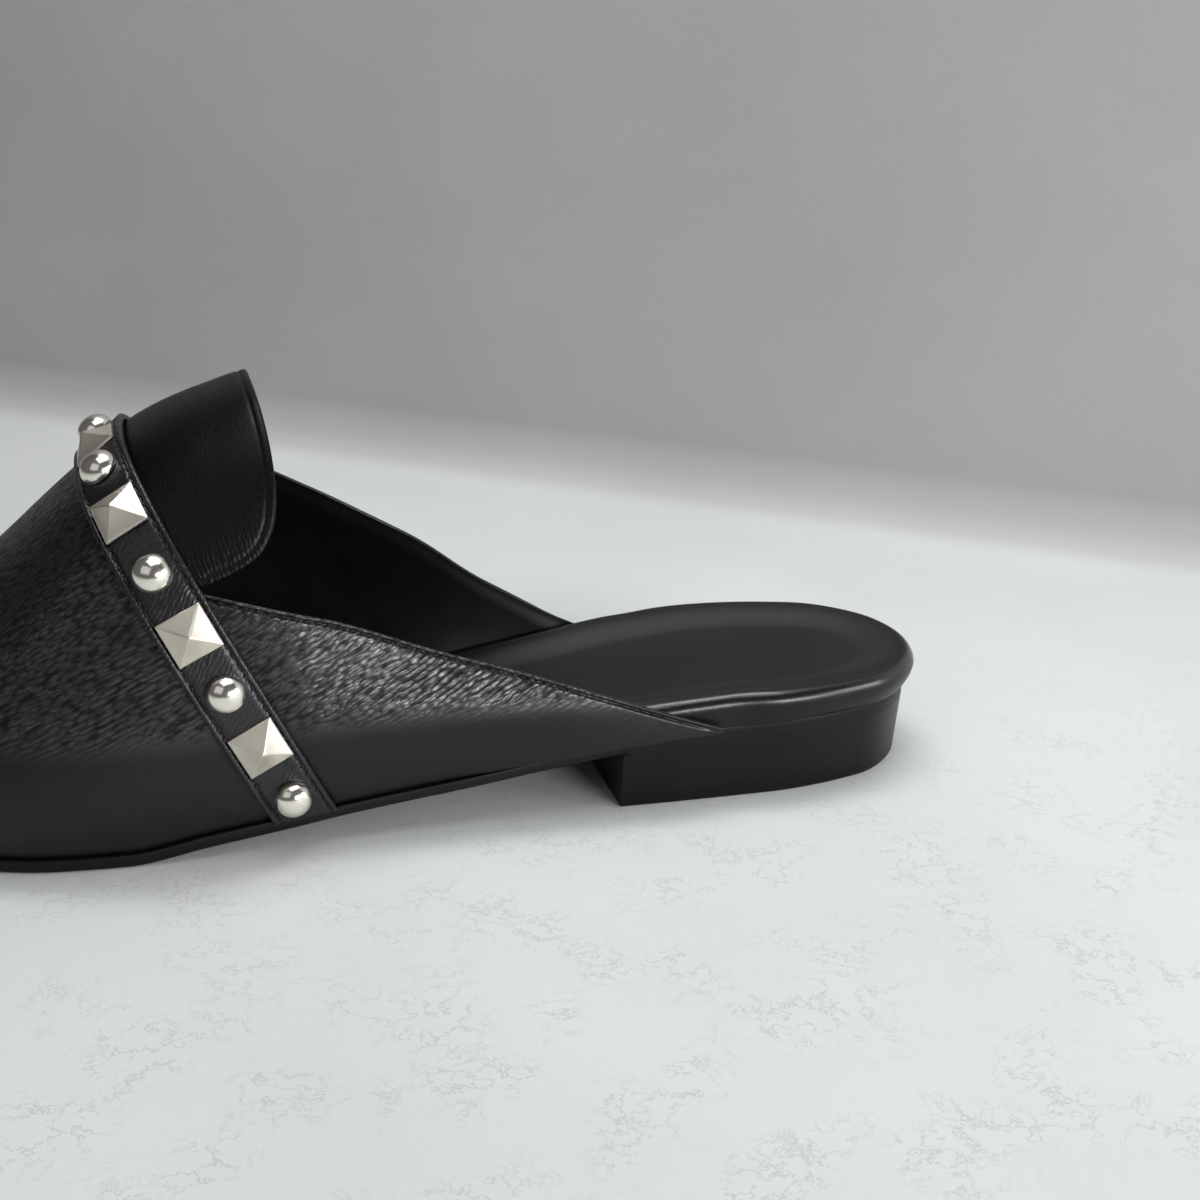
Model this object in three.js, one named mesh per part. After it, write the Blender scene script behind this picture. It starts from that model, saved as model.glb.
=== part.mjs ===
// A lady's backless loafer for the left foot, in millimetres: +Z up, toe towards -X, outer side towards -Y.
// Outsole, heel block, padded footbed, one hollow upper, a tongue and a studded saddle strap.
// Every form is worked out from the sizes below and from three short tables whose rows are shares of those sizes.
import * as THREE from "three";
import { mergeVertices } from "three/addons/utils/BufferGeometryUtils.js";

// Driving sizes of the last and the sole.
const LENGTH = 250; // sole, heel to toe
const HEEL_WIDTH = 60; // across the footbed's rim at the heel
const BALL_WIDTH = 82; // across the sole at the ball
const SEAT_HEIGHT = 15; // floor to the underside of the outsole at the heel seat
const TOE_SPRING = 9.5; // floor to the underside of the outsole at the toe tip
const INSTEP_HEIGHT = 94; // floor to the ridge at the back of the tongue
const TOE_HEIGHT = 26; // top of the toe box over the sole
const FULLNESS = 2.6; // how square the arch of the upper is: 2 is an ellipse

// Leather, board and rubber.
const OUTSOLE = 3;
const SOLE_SHOWS = 0.9; // how far the sole's edge stands out past the foot of the upper
const HEEL_TAPER = 0.9; // how much the heel block draws in towards the floor
const HEEL_LENGTH = 79; // back of the heel to its breast
const HEEL_SET_IN = 2.2; // sole and heel behind the footbed's rim
const BED_THICK = 7.4; // footbed at its rim
const BED_FRONT = 4.2; // footbed under the toes
const BED_ROUND = 3; // rounding of the rim's top edge
const RIM_DRAW = 1.5; // how far the rim draws in towards the sole round the heel
const BED_BAND = 5.5; // rim edge to where the dish starts
const DISH = 2.4; // depth of the dish in the heel seat
const DISH_SLOPE = 9; // width of the dish's sloping side
const WALL = 1.6; // upper leather with its lining
const OVERHANG = 1.1; // upper's widest line outside the sole's outline
const TUCK = 2.6; // how far the upper draws in at its foot
const TUCK_HEIGHT = 15; // height over which it draws in
const GAP = 0.3; // clearance between neighbouring pieces
const LAP_GAP = 0.5; // clearance of the tongue under the vamp, with room for the flat facets

// Tongue, strap and studs.
const TONGUE_REACH = 25.6; // strap's back edge to the tongue's end, along the ridge
const TONGUE_FLARE = -2; // how much further back the tongue's corners reach
const TONGUE_LAP = 5; // length of the tongue's front edge under the vamp
const TONGUE_CLEAR = 1.4; // tongue's foot above the topline
const TONGUE_WALL = 1.5;
const STRAP_WIDTH = 12.5;
const STRAP_THICK = 1.6;
const STRAP_LEAN = 27.3; // degrees that the strap leans forward
const THROAT_SHARE = 0.45; // where the vamp ends under the strap, as a share of its width
const DOME_DIAMETER = 8;
const DOME_HEIGHT = 3.9;
const PYRAMID_SIDE = 9.6;
const PYRAMID_HEIGHT = 4.2;
const PYRAMID_EDGE = 0.5; // height of the pyramid's upright edge
const STUDS = 15; // evenly spaced between the two feet of the strap
const FIRST_STUD = 6.4; // sole to the first stud's middle, along the strap

// Outline of the sole seen from above, heel to toe. `at` is a share of the length, the sides are shares of `of`.
const OUTLINE = [
  { at: 0, of: HEEL_WIDTH, outer: 0, inner: 0 },
  { at: 0.02, of: HEEL_WIDTH, outer: 0.257, inner: 0.257 },
  { at: 0.08, of: HEEL_WIDTH, outer: 0.437, inner: 0.437 },
  { at: 0.18, of: HEEL_WIDTH, outer: 0.5, inner: 0.5 },
  { at: 0.26, of: HEEL_WIDTH, outer: 0.498, inner: 0.492 },
  { at: 0.34, of: HEEL_WIDTH, outer: 0.485, inner: 0.462 },
  { at: 0.42, of: HEEL_WIDTH, outer: 0.473, inner: 0.463 },
  { at: 0.5, of: BALL_WIDTH, outer: 0.344, inner: 0.392 },
  { at: 0.58, of: BALL_WIDTH, outer: 0.352, inner: 0.48 },
  { at: 0.66, of: BALL_WIDTH, outer: 0.364, inner: 0.569 },
  { at: 0.73, of: BALL_WIDTH, outer: 0.37, inner: 0.62 },
  { at: 0.79, of: BALL_WIDTH, outer: 0.358, inner: 0.617 },
  { at: 0.85, of: BALL_WIDTH, outer: 0.31, inner: 0.573 },
  { at: 0.905, of: BALL_WIDTH, outer: 0.222, inner: 0.5 },
  { at: 0.955, of: BALL_WIDTH, outer: 0.107, inner: 0.405 },
  { at: 0.988, of: BALL_WIDTH, outer: -0.014, inner: 0.288 },
  { at: 1, of: BALL_WIDTH, outer: -0.15, inner: 0.15 },
];

// Height of the outsole's underside over the floor, as a share of `of`.
const SOLE_LINE = [
  { at: 0, of: SEAT_HEIGHT, rise: 1 },
  { at: 0.18, of: SEAT_HEIGHT, rise: 1 },
  { at: 0.26, of: SEAT_HEIGHT, rise: 0.95 },
  { at: 0.316, of: SEAT_HEIGHT, rise: 0.865 },
  { at: 0.374, of: SEAT_HEIGHT, rise: 0.735 },
  { at: 0.48, of: SEAT_HEIGHT, rise: 0.51 },
  { at: 0.572, of: SEAT_HEIGHT, rise: 0.335 },
  { at: 0.67, of: SEAT_HEIGHT, rise: 0.15 },
  { at: 0.735, of: SEAT_HEIGHT, rise: 0 },
  { at: 0.83, of: TOE_SPRING, rise: 0 },
  { at: 0.9, of: TOE_SPRING, rise: 0.25 },
  { at: 0.96, of: TOE_SPRING, rise: 0.66 },
  { at: 1, of: TOE_SPRING, rise: 1 },
];

// The ridge: height over the floor as a share of `of`, and its place between the two edges, 0 outer and 1 inner.
// Behind the tongue it is only the line that the side walls lean towards. `full` is a share of FULLNESS.
const RIDGE = [
  { at: 0.2, of: INSTEP_HEIGHT, rise: 0.56, across: 0.5, full: 0.71 },
  { at: 0.4, of: INSTEP_HEIGHT, rise: 0.62, across: 0.52, full: 0.69 },
  { at: 0.48, of: INSTEP_HEIGHT, rise: 0.72, across: 0.53, full: 0.71 },
  { at: 0.56, of: INSTEP_HEIGHT, rise: 0.9, across: 0.55, full: 0.83 },
  { at: 0.6, of: INSTEP_HEIGHT, rise: 0.978, across: 0.56, full: 0.98 },
  { at: 0.65, of: INSTEP_HEIGHT, rise: 0.938, across: 0.55, full: 1 },
  { at: 0.7, of: INSTEP_HEIGHT, rise: 0.875, across: 0.54, full: 1 },
  { at: 0.76, of: INSTEP_HEIGHT, rise: 0.745, across: 0.53, full: 0.97 },
  { at: 0.82, of: INSTEP_HEIGHT, rise: 0.605, across: 0.515, full: 0.93 },
  { at: 0.88, of: TOE_HEIGHT + TOE_SPRING, rise: 1.27, across: 0.505, full: 0.9 },
  { at: 1, of: TOE_HEIGHT + TOE_SPRING, rise: 0.75, across: 0.5, full: 0.85 },
];

// Topline of the two quarters, from the rim of the footbed up to the strap: height over the floor as a share of `of`.
const OUTER_TOPLINE = [
  { at: 0.229, of: SEAT_HEIGHT, rise: 1.27 },
  { at: 0.29, of: SEAT_HEIGHT, rise: 1.624 },
  { at: 0.376, of: INSTEP_HEIGHT, rise: 0.336 },
  { at: 0.478, of: INSTEP_HEIGHT, rise: 0.425 },
  { at: 0.575, of: INSTEP_HEIGHT, rise: 0.529 },
  { at: 0.69, of: INSTEP_HEIGHT, rise: 0.62 },
];
const INNER_TOPLINE = [
  { at: 0.27, of: SEAT_HEIGHT, rise: 1.24 },
  { at: 0.326, of: SEAT_HEIGHT, rise: 1.731 },
  { at: 0.393, of: INSTEP_HEIGHT, rise: 0.391 },
  { at: 0.47, of: INSTEP_HEIGHT, rise: 0.541 },
  { at: 0.577, of: INSTEP_HEIGHT, rise: 0.665 },
  { at: 0.69, of: INSTEP_HEIGHT, rise: 0.755 },
];

const OUTER = -1;
const INNER = 1;
const SOLE_COLUMNS = 44;
const FAN_BACK = 0.12; // lines across the heel fan out from here, as a share of the length
const FAN_FRONT = 0.735; // lines over the toe start to fan here
const STRAP_FOOT_AT = 0.565; // where the strap's back edge meets the sole, as a share of the length
const clamp = (value, low, high) => Math.min(high, Math.max(low, value));
const smooth = (value, low, high) => THREE.MathUtils.smoothstep(value, low, high);

// Stations crowd towards heel and toe like the cosine, so that a table's round ends come out round.
const phaseOf = (at) => Math.acos(clamp(1 - 2 * at, -1, 1)) / Math.PI;
const atPhase = (phase) => (1 - Math.cos(Math.PI * phase)) / 2;

// A smooth curve through a table's rows that never overshoots them: a monotone cubic over the phase.
function through(rows, valueOf) {
  const x = rows.map((row) => phaseOf(row.at));
  const y = rows.map(valueOf);
  const last = x.length - 1;
  const slope = y.slice(1).map((value, i) => (value - y[i]) / (x[i + 1] - x[i]));
  const tangent = y.map((_, i) => {
    if (i === 0) return slope[0];
    if (i === last) return slope[last - 1];
    if (slope[i - 1] * slope[i] <= 0) return 0;
    return (2 * slope[i - 1] * slope[i]) / (slope[i - 1] + slope[i]);
  });
  return (at) => {
    const phase = clamp(phaseOf(at), x[0], x[last]);
    const i = clamp(x.findIndex((value) => value > phase) - 1, 0, last - 1);
    const k = phase >= x[last] ? last - 1 : i;
    const span = x[k + 1] - x[k];
    const t = (phase - x[k]) / span;
    const rise = tangent[k] * span;
    const fall = tangent[k + 1] * span;
    const bend = 3 * (y[k + 1] - y[k]) - 2 * rise - fall;
    const twist = rise + fall - 2 * (y[k + 1] - y[k]);
    return y[k] + t * (rise + t * (bend + t * twist));
  };
}

const outerEdge = through(OUTLINE, (row) => row.of * row.outer);
const innerEdge = through(OUTLINE, (row) => row.of * row.inner);
const underside = through(SOLE_LINE, (row) => row.of * row.rise);
const ridgeHeight = through(RIDGE, (row) => row.of * row.rise);
const ridgeAcross = through(RIDGE, (row) => row.across);
const fullness = through(RIDGE, (row) => row.full * FULLNESS);
const outerTopline = through(OUTER_TOPLINE, (row) => row.of * row.rise);
const innerTopline = through(INNER_TOPLINE, (row) => row.of * row.rise);
const toplineOf = (side) => (side === OUTER ? outerTopline : innerTopline);
const backOf = (side) => (side === OUTER ? OUTER_TOPLINE : INNER_TOPLINE)[0].at;
const soleTop = (at) => underside(at) + OUTSOLE;

// A point of the outline, moved out past it by `out`, at a height.
function edgePoint(at, side, out, height) {
  const y = side === OUTER ? -outerEdge(at) : innerEdge(at);
  const outward = outlineNormal(at, side);
  return new THREE.Vector3(-LENGTH * at + outward.x * out, y + outward.y * out, height);
}

// Level direction that points out of the outline, from two stations close on either side.
function outlineNormal(at, side) {
  const STEP = 0.004; // share of a half turn of the cosine spacing
  const edge = side === OUTER ? (share) => -outerEdge(share) : innerEdge;
  const phase = clamp(phaseOf(at), 0, 1);
  if (phase <= STEP / 2) return new THREE.Vector3(1, 0, 0);
  if (phase >= 1 - STEP / 2) return new THREE.Vector3(-1, 0, 0);
  const before = atPhase(Math.max(0, phase - STEP));
  const after = atPhase(Math.min(1, phase + STEP));
  const along = new THREE.Vector3(-LENGTH * (after - before), edge(after) - edge(before), 0);
  return new THREE.Vector3(along.y, -along.x, 0).multiplyScalar(side).normalize();
}

// A point on the footbed's middle line that a point of the outline looks towards.
function middlePoint(at, height) {
  const station = clamp(at, FAN_BACK, 1 - FAN_BACK);
  const y = (innerEdge(station) - outerEdge(station)) / 2;
  return new THREE.Vector3(-LENGTH * station, y, height);
}

// How much the upper draws in at its foot: nothing at the back ends of the quarters, all of it from the waist on.
const tuckAt = (at) => TUCK * smooth(at, 0.28, 0.48);

// Where on the ridge the line that starts at a station ends: lines over the toe fan out from further back.
function ridgeStation(at) {
  const fan = Math.max(0, at - FAN_FRONT);
  return at - (fan * fan) / (2 * (1 - FAN_FRONT));
}

// How steeply the ridge climbs from a station towards the heel.
function ridgeClimb(at) {
  const STEP = 0.01; // share of the length
  return (ridgeHeight(at - STEP) - ridgeHeight(at + STEP)) / (2 * STEP * LENGTH);
}

// A point of the upper's outside. Angle 0 is at the sole and a quarter turn is on the ridge.
function upperPoint(at, side, angle) {
  const foot = soleTop(at) + GAP;
  const ridgeAt = ridgeStation(at);
  const left = -outerEdge(ridgeAt);
  const ridge = new THREE.Vector3(
    -LENGTH * ridgeAt,
    left + (innerEdge(ridgeAt) - left) * ridgeAcross(ridgeAt),
    ridgeHeight(ridgeAt),
  );
  const power = 2 / fullness(at);
  const inward = 1 - Math.max(0, Math.cos(angle)) ** power;
  const rise = (ridge.z - foot) * Math.sin(angle) ** power;
  const draw = tuckAt(at) * (1 - clamp(rise / TUCK_HEIGHT, 0, 1)) ** 2;
  const edge = edgePoint(at, side, OVERHANG - draw, 0);
  const x = edge.x + (ridge.x - edge.x) * inward;
  // Over the toe the top of each line leans on with the ridge.
  const dip = at > FAN_FRONT ? ridgeClimb(ridgeAt) * (x - ridge.x) * Math.sin(angle) ** 4 : 0;
  return new THREE.Vector3(x, edge.y + (ridge.y - edge.y) * inward, foot + rise + dip);
}

// The angle at which the upper reaches a height.
function angleAt(at, height) {
  const foot = soleTop(at) + GAP;
  const share = clamp((height - foot) / (ridgeHeight(at) - foot), 0, 1);
  return Math.asin(Math.min(1, share ** (fullness(at) / 2)));
}

// The strap lies between two leaning planes. `across` is 0 at its back edge and 1 at its front edge.
const lean = Math.tan(THREE.MathUtils.degToRad(STRAP_LEAN));
const strapRun = STRAP_WIDTH / Math.cos(THREE.MathUtils.degToRad(STRAP_LEAN));
const strapFootHeight = soleTop(STRAP_FOOT_AT);
const strapStation = (across, height) =>
  STRAP_FOOT_AT + (strapRun * across + lean * (height - strapFootHeight)) / LENGTH;
const strapPlaneHeight = (across, at) =>
  strapFootHeight + (LENGTH * (at - STRAP_FOOT_AT) - strapRun * across) / lean;

// Station where a leaning plane of the strap cuts a line of the upper at one angle, and the point there.
function strapAt(across, side, angle) {
  let at = STRAP_FOOT_AT;
  for (let i = 0; i < 16; i += 1) at = strapStation(across, upperPoint(at, side, angle).z);
  return at;
}
const strapPoint = (across, side, angle) => upperPoint(strapAt(across, side, angle), side, angle);

// Station where a leaning plane of the strap meets the topline.
function neckAt(across, side) {
  let at = STRAP_FOOT_AT;
  for (let i = 0; i < 16; i += 1) at = strapStation(across, toplineOf(side)(at));
  return at;
}

// The station at which a plane of the strap crosses the ridge.
function ridgeCrossing(across) {
  let low = STRAP_FOOT_AT;
  let high = FAN_FRONT;
  for (let i = 0; i < 40; i += 1) {
    const middle = (low + high) / 2;
    if (strapPlaneHeight(across, middle) > ridgeHeight(middle)) high = middle;
    else low = middle;
  }
  return high;
}

// Evenly spaced numbers, both ends included.
const spread = (low, high, count) =>
  Array.from({ length: count + 1 }, (_, i) => low + ((high - low) * i) / count);

// Joins columns of points into a sheet of triangles: each column has as many points as the next.
function sheetOf(columns) {
  const rows = columns[0].length;
  const faces = [];
  for (let c = 0; c + 1 < columns.length; c += 1) {
    for (let r = 0; r + 1 < rows; r += 1) {
      const a = c * rows + r;
      const b = a + rows;
      faces.push([a, b + 1, b], [a, a + 1, b + 1]);
    }
  }
  return { points: columns.flat(), faces };
}

// Merges points that fall together and drops the triangles that this closes up.
function weld({ points, faces }) {
  const WELD = 1e-3; // millimetres
  const seen = new Map();
  const kept = [];
  const renamed = points.map((point) => {
    const key = [point.x, point.y, point.z].map((value) => Math.round(value / WELD)).join(" ");
    if (!seen.has(key)) seen.set(key, kept.push(point) - 1);
    return seen.get(key);
  });
  const open = faces
    .map((face) => face.map((corner) => renamed[corner]))
    .filter(([a, b, c]) => a !== b && b !== c && c !== a);
  return { points: kept, faces: open };
}

// Normals of a welded sheet, each weighted by the triangles round its point.
function normalsOf({ points, faces }) {
  const normals = points.map(() => new THREE.Vector3());
  for (const [a, b, c] of faces) {
    const u = points[b].clone().sub(points[a]);
    const v = points[c].clone().sub(points[a]);
    const face = u.cross(v);
    for (const corner of [a, b, c]) normals[corner].add(face);
  }
  return normals.map((normal) => normal.normalize());
}

// Gives a sheet a wall: its outside stands `out` off the sheet and its inside lies `wall` further in.
// A point's own `sink` takes both further in.
function shellOf(columns, out, wall) {
  const sheet = weld(sheetOf(columns));
  const normals = normalsOf(sheet);
  const moved = (distance) =>
    sheet.points.map((point, i) =>
      point.clone().addScaledVector(normals[i], distance - (point.sink ?? 0)),
    );
  const count = sheet.points.length;
  const points = [...moved(out), ...moved(out - wall)];
  const faces = [...sheet.faces];
  for (const [a, b, c] of sheet.faces) faces.push([a + count, c + count, b + count]);
  const edges = new Map();
  for (const [a, b, c] of sheet.faces)
    for (const [from, to] of [[a, b], [b, c], [c, a]]) edges.set(from + " " + to, [from, to]);
  for (const [from, to] of edges.values()) {
    if (edges.has(to + " " + from)) continue;
    faces.push([to, from, from + count], [to, from + count, to + count]);
  }
  return geometryOf({ points, faces });
}

// A closed solid from rings of equal length, bottom ring first, each running heel, outer side, toe, inner side.
// A ring's two sides are joined across at the bottom and the top, like the rungs of a ladder.
function ladderSolid(rings) {
  const size = rings[0].length;
  const faces = [];
  for (let r = 0; r + 1 < rings.length; r += 1) {
    for (let i = 0; i < size; i += 1) {
      const a = r * size + i;
      const b = r * size + ((i + 1) % size);
      faces.push([a, b + size, b], [a, a + size, b + size]);
    }
  }
  const top = (rings.length - 1) * size;
  for (let i = 0; i < size / 2; i += 1) {
    const j = (size - i) % size;
    const k = size - i - 1;
    faces.push([i, i + 1, j], [i + 1, k, j]);
    faces.push([top + i, top + j, top + i + 1], [top + i + 1, top + j, top + k]);
  }
  return geometryOf(weld({ points: rings.flat(), faces }));
}

function geometryOf({ points, faces }) {
  const geometry = new THREE.BufferGeometry();
  geometry.setAttribute(
    "position",
    new THREE.Float32BufferAttribute(points.flatMap((point) => point.toArray()), 3),
  );
  geometry.setIndex(faces.flat());
  return geometry;
}

// Stations from heel to toe down the outer side, then back up the inner side.
function ringStations(fromPhase, toPhase, count) {
  const phases = spread(fromPhase, toPhase, count);
  return [
    ...phases.map((phase) => ({ at: atPhase(phase), side: OUTER })),
    ...phases.slice(1, -1).reverse().map((phase) => ({ at: atPhase(phase), side: INNER })),
  ];
}

// How far the sole and heel stay behind the outline: set in round the heel, nearly flush in front.
function soleInset(at) {
  const front = TUCK - OVERHANG - SOLE_SHOWS;
  return HEEL_SET_IN + (front - HEEL_SET_IN) * smooth(at, 0.28, 0.48);
}

// Outsole with a bevelled lower edge, wider under the waist, where a maker pares it thin.
function outsoleGeometry() {
  const BEVEL = 0.8;
  const WAIST_BEVEL = 3.2;
  const bevelAt = (at) =>
    BEVEL + WAIST_BEVEL * smooth(at, 0.32, 0.4) * (1 - smooth(at, 0.5, 0.62));
  const ring = ringStations(0, 1, SOLE_COLUMNS);
  const underHeel = (at) => (at < HEEL_LENGTH / LENGTH ? 0 : 1);
  return ladderSolid([
    ring.map(({ at, side }) =>
      edgePoint(at, side, -soleInset(at) - bevelAt(at) * underHeel(at), underside(at)),
    ),
    ring.map(({ at, side }) =>
      edgePoint(at, side, -soleInset(at), underside(at) + BEVEL * underHeel(at)),
    ),
    ring.map(({ at, side }) => edgePoint(at, side, -soleInset(at), soleTop(at))),
  ]);
}

// Heel block under the outsole, drawn in a little towards the floor, with an upright breast.
function heelGeometry() {
  const HEEL_COLUMNS = 22;
  const phases = spread(0, phaseOf(HEEL_LENGTH / LENGTH), HEEL_COLUMNS);
  const ring = [
    ...phases.map((phase) => ({ at: atPhase(phase), side: OUTER })),
    ...phases.slice(1).reverse().map((phase) => ({ at: atPhase(phase), side: INNER })),
  ];
  const level = (share) =>
    ring.map(({ at, side }) => {
      const height = (underside(at) - GAP) * share;
      const point = edgePoint(at, side, -soleInset(at) - HEEL_TAPER * (1 - share), height);
      point.x = Math.max(point.x, -HEEL_LENGTH);
      return point;
    });
  const points = [...level(0), ...level(1)];
  const size = ring.length;
  const faces = [];
  for (let i = 0; i < size; i += 1) {
    const next = (i + 1) % size;
    faces.push([i, next + size, next], [i, i + size, next + size]);
  }
  for (let i = 0; i < HEEL_COLUMNS; i += 1) {
    const j = (size - i) % size;
    const k = size - i - 1;
    faces.push([i, i + 1, j], [size + i, size + j, size + i + 1]);
    if (i + 1 < k) faces.push([i + 1, k, j], [size + i + 1, size + j, size + k]);
  }
  return geometryOf(weld({ points, faces }));
}

// Padded footbed: its rim shows round the heel, and from the quarters on it lies inside the upper.
function footbedGeometry() {
  const ring = ringStations(0, 1, SOLE_COLUMNS);
  const thickness = (at) => BED_THICK + (BED_FRONT - BED_THICK) * smooth(at, 0.3, 0.7);
  const dish = (at) => DISH * (1 - smooth(at, 0.3, 0.62));
  const MARGIN = 0.35; // room for the flat facets of a curved wall
  const inside = (at, side) =>
    (WALL + GAP + MARGIN - OVERHANG) * smooth(at, backOf(side) - 0.06, backOf(side) - 0.01);
  const drawIn = (at) => RIM_DRAW * (1 - smooth(at, 0.12, 0.21));
  const footInset = (at, side) =>
    inside(at, side) + tuckAt(at) + MARGIN * smooth(at, 0.28, 0.4) + drawIn(at);
  const sideInset = (at, side) => inside(at, side) + 0.75 * tuckAt(at);
  const base = (at) => soleTop(at) + GAP;
  const level = (inset, height) =>
    ring.map(({ at, side }) => edgePoint(at, side, -inset(at, side), height(at)));
  // A ring on the top face, a distance in from the rim towards the middle line.
  const topRing = (distance, height) =>
    ring.map(({ at, side }) => {
      const rim = edgePoint(at, side, -sideInset(at, side), height(at));
      const middle = middlePoint(at, height(at));
      return rim.lerp(middle, Math.min(1, distance / rim.distanceTo(middle)));
    });
  const top = (at) => base(at) + thickness(at);
  const turn = 1 - Math.SQRT1_2;
  return ladderSolid([
    level(footInset, base),
    level(sideInset, (at) => top(at) - BED_ROUND * (thickness(at) / BED_THICK)),
    topRing(BED_ROUND * turn, (at) => top(at) - BED_ROUND * turn * (thickness(at) / BED_THICK)),
    topRing(BED_ROUND, top),
    topRing(BED_BAND, top),
    topRing(BED_BAND + DISH_SLOPE / 2, (at) => top(at) - dish(at) / 2),
    topRing(BED_BAND + DISH_SLOPE, (at) => top(at) - dish(at)),
  ]);
}

// Vamp and quarters in one hollow wall: open at the back, at the throat and underneath.
function upperGeometry() {
  const ROWS = 12;
  const BACK_COLUMNS = 12;
  const THROAT_COLUMNS = 9;
  const FRONT_COLUMNS = 20;
  const crossing = ridgeCrossing(THROAT_SHARE);
  // Each column has its station and the angle that it reaches: the topline, then the throat, then the ridge.
  const places = (side) => {
    const neck = neckAt(THROAT_SHARE, side);
    const topline = spread(backOf(side), neck, BACK_COLUMNS).map((at) => ({
      at,
      top: angleAt(at, toplineOf(side)(at)),
    }));
    const throat = spread(topline[BACK_COLUMNS].top, Math.PI / 2, THROAT_COLUMNS)
      .slice(1)
      .map((top) => ({ at: strapAt(THROAT_SHARE, side, top), top }));
    const vamp = spread(phaseOf(crossing), 1, FRONT_COLUMNS)
      .slice(1)
      .map((phase) => ({ at: atPhase(phase), top: Math.PI / 2 }));
    return [...topline, ...throat, ...vamp];
  };
  const column = ({ at, top }, side) =>
    spread(0, 1, ROWS).map((share) => upperPoint(at, side, top * share ** 1.2));
  const columns = [
    ...places(OUTER).map((place) => column(place, OUTER)),
    ...places(INNER).reverse().slice(1).map((place) => column(place, INNER)),
  ];
  return shellOf(columns, 0, WALL);
}

// Tongue: a wide rounded tab that comes out from under the strap, with its front edge lapped under the vamp.
function tongueGeometry() {
  const ACROSS = 28;
  const BACK_ROWS = 8;
  const CORNER = 3.4; // how square the tab's corners are
  // The tongue's foot keeps above the topline, which rises on under the strap.
  const footAngle = (across, side) => {
    const at = neckAt(across, side);
    return angleAt(at, toplineOf(side)(at) + TONGUE_CLEAR);
  };
  const column = (share) => {
    const side = share < 0 ? OUTER : INNER;
    const away = Math.abs(share);
    const angle = (across) => Math.PI / 2 - away * (Math.PI / 2 - footAngle(across, side));
    const neck = LENGTH * strapAt(0, side, angle(0));
    const round = (1 - away ** CORNER) ** (1 / CORNER);
    const reach = (TONGUE_REACH + TONGUE_FLARE * away * away) * round;
    const points = spread(neck - reach, neck, BACK_ROWS).map((run) =>
      upperPoint(run / LENGTH, side, angle(0)),
    );
    for (const across of [0.35, 0.6, 0.85].map((share) => THROAT_SHARE * share)) {
      const point = strapPoint(across, side, angle(across));
      point.sink = (WALL + LAP_GAP) * smooth(across, THROAT_SHARE * 0.2, THROAT_SHARE * 0.85);
      points.push(point);
    }
    const lap = THROAT_SHARE + TONGUE_LAP / STRAP_WIDTH;
    for (const across of [THROAT_SHARE, lap]) {
      const point = strapPoint(across, side, angle(THROAT_SHARE));
      point.sink = WALL + LAP_GAP;
      points.push(point);
    }
    return points.reverse();
  };
  return shellOf(spread(-1, 1, ACROSS).map(column), 0, TONGUE_WALL);
}

// One row of points along the strap, from the outer foot over the ridge to the inner foot.
function strapLine(across, count) {
  const angles = spread(0, Math.PI / 2, count);
  return [
    ...angles.map((angle) => strapPoint(across, OUTER, angle)),
    ...angles.slice(0, -1).reverse().map((angle) => strapPoint(across, INNER, angle)),
  ];
}

// Saddle strap over vamp, quarters and tongue.
function strapGeometry() {
  const HALF_COUNT = 26;
  const ACROSS = 4;
  const lines = spread(0, 1, ACROSS).map((across) => strapLine(across, HALF_COUNT));
  const columns = lines[0].map((_, i) => lines.map((line) => line[i]).reverse());
  return shellOf(columns, GAP + STRAP_THICK, STRAP_THICK);
}

// Places for the studs: even steps along the strap's middle, each with its seat and its directions.
function studSeats() {
  const FINE = 160;
  const EDGE = 0.25; // the two lines that give the direction across the strap
  const middle = strapLine(0.5, FINE);
  const front = strapLine(0.5 + EDGE, FINE);
  const back = strapLine(0.5 - EDGE, FINE);
  const run = [0];
  for (let i = 1; i < middle.length; i += 1)
    run.push(run[i - 1] + middle[i].distanceTo(middle[i - 1]));
  const length = run[run.length - 1];
  const pitch = (length - 2 * FIRST_STUD) / (STUDS - 1);
  return Array.from({ length: STUDS }, (_, n) => {
    const distance = FIRST_STUD + pitch * n;
    const i = clamp(run.findIndex((value) => value >= distance), 3, middle.length - 4);
    const along = middle[i + 3].clone().sub(middle[i - 3]).normalize();
    const across = front[i].clone().sub(back[i]).normalize();
    const outward = along.clone().cross(across).normalize();
    const seat = middle[i].clone().addScaledVector(outward, 2 * GAP + STRAP_THICK);
    return { seat, along, outward };
  });
}

// A domed stud: a lathed cap with a short upright edge.
function domeGeometry() {
  const EDGE = 0.6;
  const radius = DOME_DIAMETER / 2;
  const rise = DOME_HEIGHT - EDGE;
  const profile = [new THREE.Vector2(0, 0), new THREE.Vector2(radius, 0)];
  for (const turn of spread(0, Math.PI / 2, 5))
    profile.push(new THREE.Vector2(radius * Math.cos(turn), EDGE + rise * Math.sin(turn)));
  profile[profile.length - 1].x = 0;
  const geometry = new THREE.LatheGeometry(profile, 16);
  geometry.deleteAttribute("normal");
  geometry.deleteAttribute("uv");
  return mergeVertices(geometry.rotateX(Math.PI / 2), 1e-4);
}

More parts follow.
